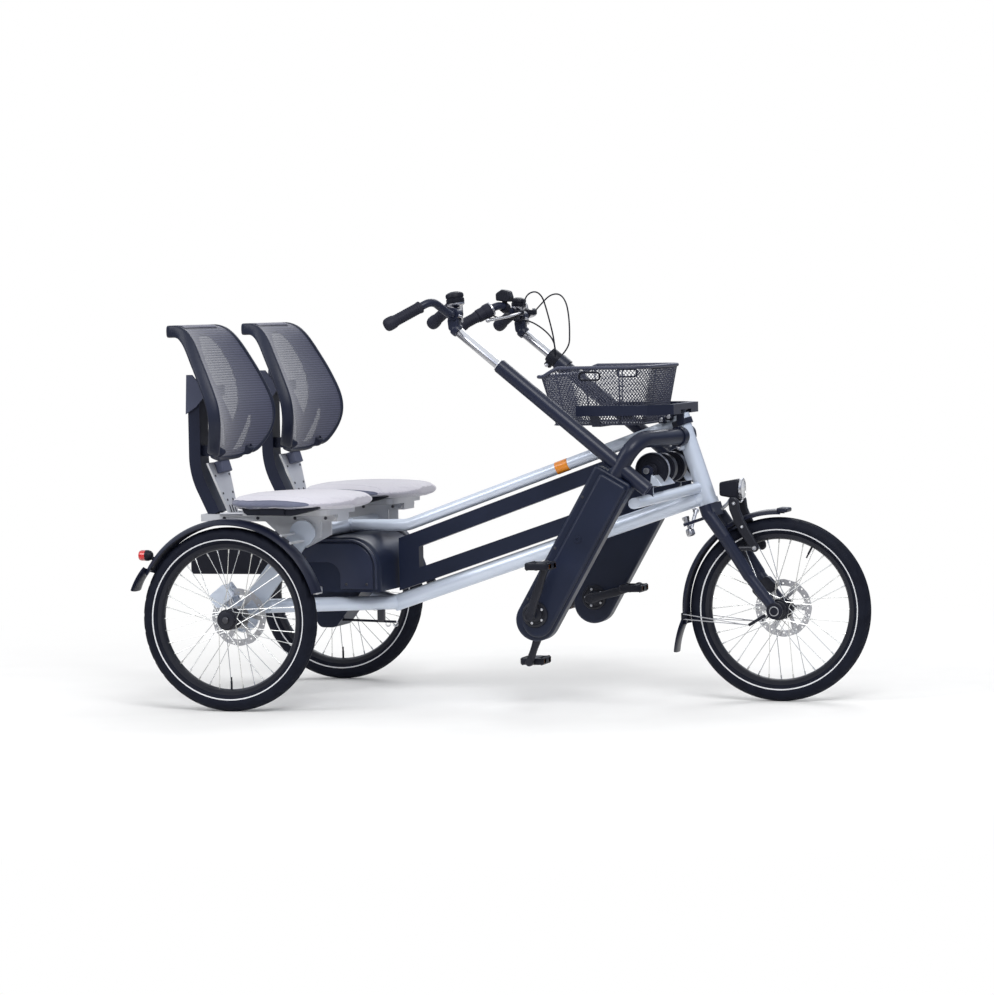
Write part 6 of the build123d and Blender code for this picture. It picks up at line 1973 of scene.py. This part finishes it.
tube(
    "brake_straddle",
    [at(1330, -44, 560), at(1336, -30, 553), at(1338, 0, 549), at(1336, 30, 553), at(1330, 44, 560)],
    0.0022, 0.012, STEEL, "fork", 12
)
HEAD_WAY = (at(1167, 0, 791) - at(1249, 0, 544)).normalized()
lever_eye = at(1186.3, 0, 485.2)
turned(
    "rod_joint_head",
    (
        (0.0, 0.0), (0.0105, 0.0), (0.0108, 0.0080), (0.0084, 0.0096), (0.0084, 0.0150), (0.0102, 0.0162),
        (0.0102, 0.0232), (0.0086, 0.0246), (0.0, 0.0250)
    ), lever_eye + HEAD_WAY * 0.0003, HEAD_WAY, STEEL, "fork", 24
)
turned(
    "rod_joint_cup",
    (
        (0.0, -0.0315), (0.0090, -0.0315), (0.0118, -0.0285), (0.0124, -0.0200), (0.0112, -0.0125),
        (0.0078, -0.0090), (0.0, -0.0085)
    ), lever_eye - HEAD_WAY * 0.0003, HEAD_WAY, STEEL, "tie_rod", 32
)

# Camera, at the photograph's angle. The lens is the focal length of 3793
# pixels over the frame's 995 pixels, on a 36 mm sensor.
PHOTO_SIZE = 995
FOCAL_PIXELS = 3792.9
SENSOR_MM = 36.0
CAMERA_YAW = radians(17.46)
CAMERA_PITCH = radians(2.95)
CAMERA_ROLL = radians(-1.06)
CAMERA_PLACE = at(3829.7, -10163, 1112.3)
camera_data = bpy.data.cameras.new("camera")
camera_data.sensor_width = SENSOR_MM
camera_data.lens = FOCAL_PIXELS * SENSOR_MM / PHOTO_SIZE
camera_data.clip_end = 100.0
camera = linked("camera", camera_data)
aim = Matrix.Rotation(CAMERA_YAW, 4, "Z") @ Matrix.Rotation(pi / 2 - CAMERA_PITCH, 4, "X")
camera.matrix_world = Matrix.Translation(CAMERA_PLACE) @ aim @ Matrix.Rotation(CAMERA_ROLL, 4, "Z")
bpy.context.scene.camera = camera

# Floor and backdrop: pale to the camera and in reflections
WHITE = (1.0, 1.0, 1.0, 1.0)
floor_material, tree, shader = node_group("floor")
place = node(tree, "TexCoord", {}, "Object")
paint = ramp(tree, noise(tree, place, 3.0), ((0.3, (0.86, 0.86, 0.86)), (0.7, (0.90, 0.90, 0.90))))
feed(tree, shader, {"Base Color": paint, "Roughness": 0.9})
reach = node(tree, "VectorMath", {0: place}, "Value", operation="LENGTH")
fade = node(
    tree, "MapRange", {"Value": reach, "From Min": 1.0, "From Max": 3.2}, interpolation_type="SMOOTHSTEP"
)
camera_ray = node(tree, "LightPath", {}, "Is Camera Ray")
glow = node(tree, "Emission", {"Color": WHITE, "Strength": spread(tree, camera_ray, 0.45, 1.0)})
blend = node(tree, "MixShader", {0: fade, 1: shader.outputs["BSDF"], 2: glow})
feed(tree, tree.nodes["Material Output"], {"Surface": blend})
floor_mesh = bpy.data.meshes.new("floor")
FLOOR_HALF = 30.0
corners = [(x, y, 0) for x, y in ((-1, -1), (1, -1), (1, 1), (-1, 1))]
floor_mesh.from_pydata([Vector(corner) * FLOOR_HALF for corner in corners], [], [(0, 1, 2, 3)])
floor_mesh.materials.append(floor_material)
floor = linked("floor", floor_mesh)
floor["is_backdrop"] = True

# World: white to the camera and in gloss, plain soft light on the object
WORLD_LIGHT = 0.62
world = bpy.data.worlds.new("studio")
bpy.context.scene.world = world
world.use_nodes = True
tree = world.node_tree
camera_ray = node(tree, "LightPath", {}, "Is Camera Ray")
glossy = node(tree, "LightPath", {}, "Is Glossy Ray")
through = node(tree, "LightPath", {}, "Is Transmission Ray")
gloss = node(tree, "Math", {0: glossy, 1: through}, operation="MAXIMUM")
seen = node(tree, "Math", {0: camera_ray, 1: gloss}, operation="MAXIMUM")
# In gloss the room is bright above and dim near the horizon
place = node(tree, "TexCoord", {}, "Generated")
height = node(tree, "SeparateXYZ", {0: place}, "Z")
room = ramp(
    tree, spread(tree, height, 0.5, 1.0),
    (
        (0.0, (0.18, 0.20, 0.27)), (0.50, (0.18, 0.20, 0.27)), (0.58, (0.12, 0.14, 0.20)),
        (0.70, (0.62, 0.70, 0.90)), (0.85, (0.92, 0.96, 1.0))
    )
)
pick = tree.nodes.new("ShaderNodeMix")
pick.data_type = "RGBA"
white, tinted = [socket for socket in pick.inputs if socket.type == "RGBA"]
white.default_value = WHITE
tree.links.new(glossy, pick.inputs["Factor"])
tree.links.new(room, tinted)
picked = [socket for socket in pick.outputs if socket.type == "RGBA"][0]
feed(tree, tree.nodes["Background"], {"Color": picked, "Strength": spread(tree, seen, WORLD_LIGHT, 1.0)})

# Lamps: name, place, width, power in watts
LAMPS = (
    ("key", (2.5, -5.0, 5.0), 3.5, 260.0), ("fill", (-4.0, -4.0, 3.5), 3.5, 120.0),
    ("back", (0.0, 5.0, 4.5), 4.0, 140.0)
)
for lamp_name, place, width, power in LAMPS:
    lamp_data = bpy.data.lights.new(lamp_name, "AREA")
    lamp_data.shape = "DISK"
    lamp_data.size = width
    lamp_data.energy = power
    lamp = linked(lamp_name, lamp_data)
    lamp.location = place
    aim = Vector((0.0, 0.0, 0.5)) - Vector(place)
    lamp.rotation_euler = aim.to_track_quat("-Z", "Y").to_euler()
bpy.context.scene.view_settings.view_transform = "Standard"

low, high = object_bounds()
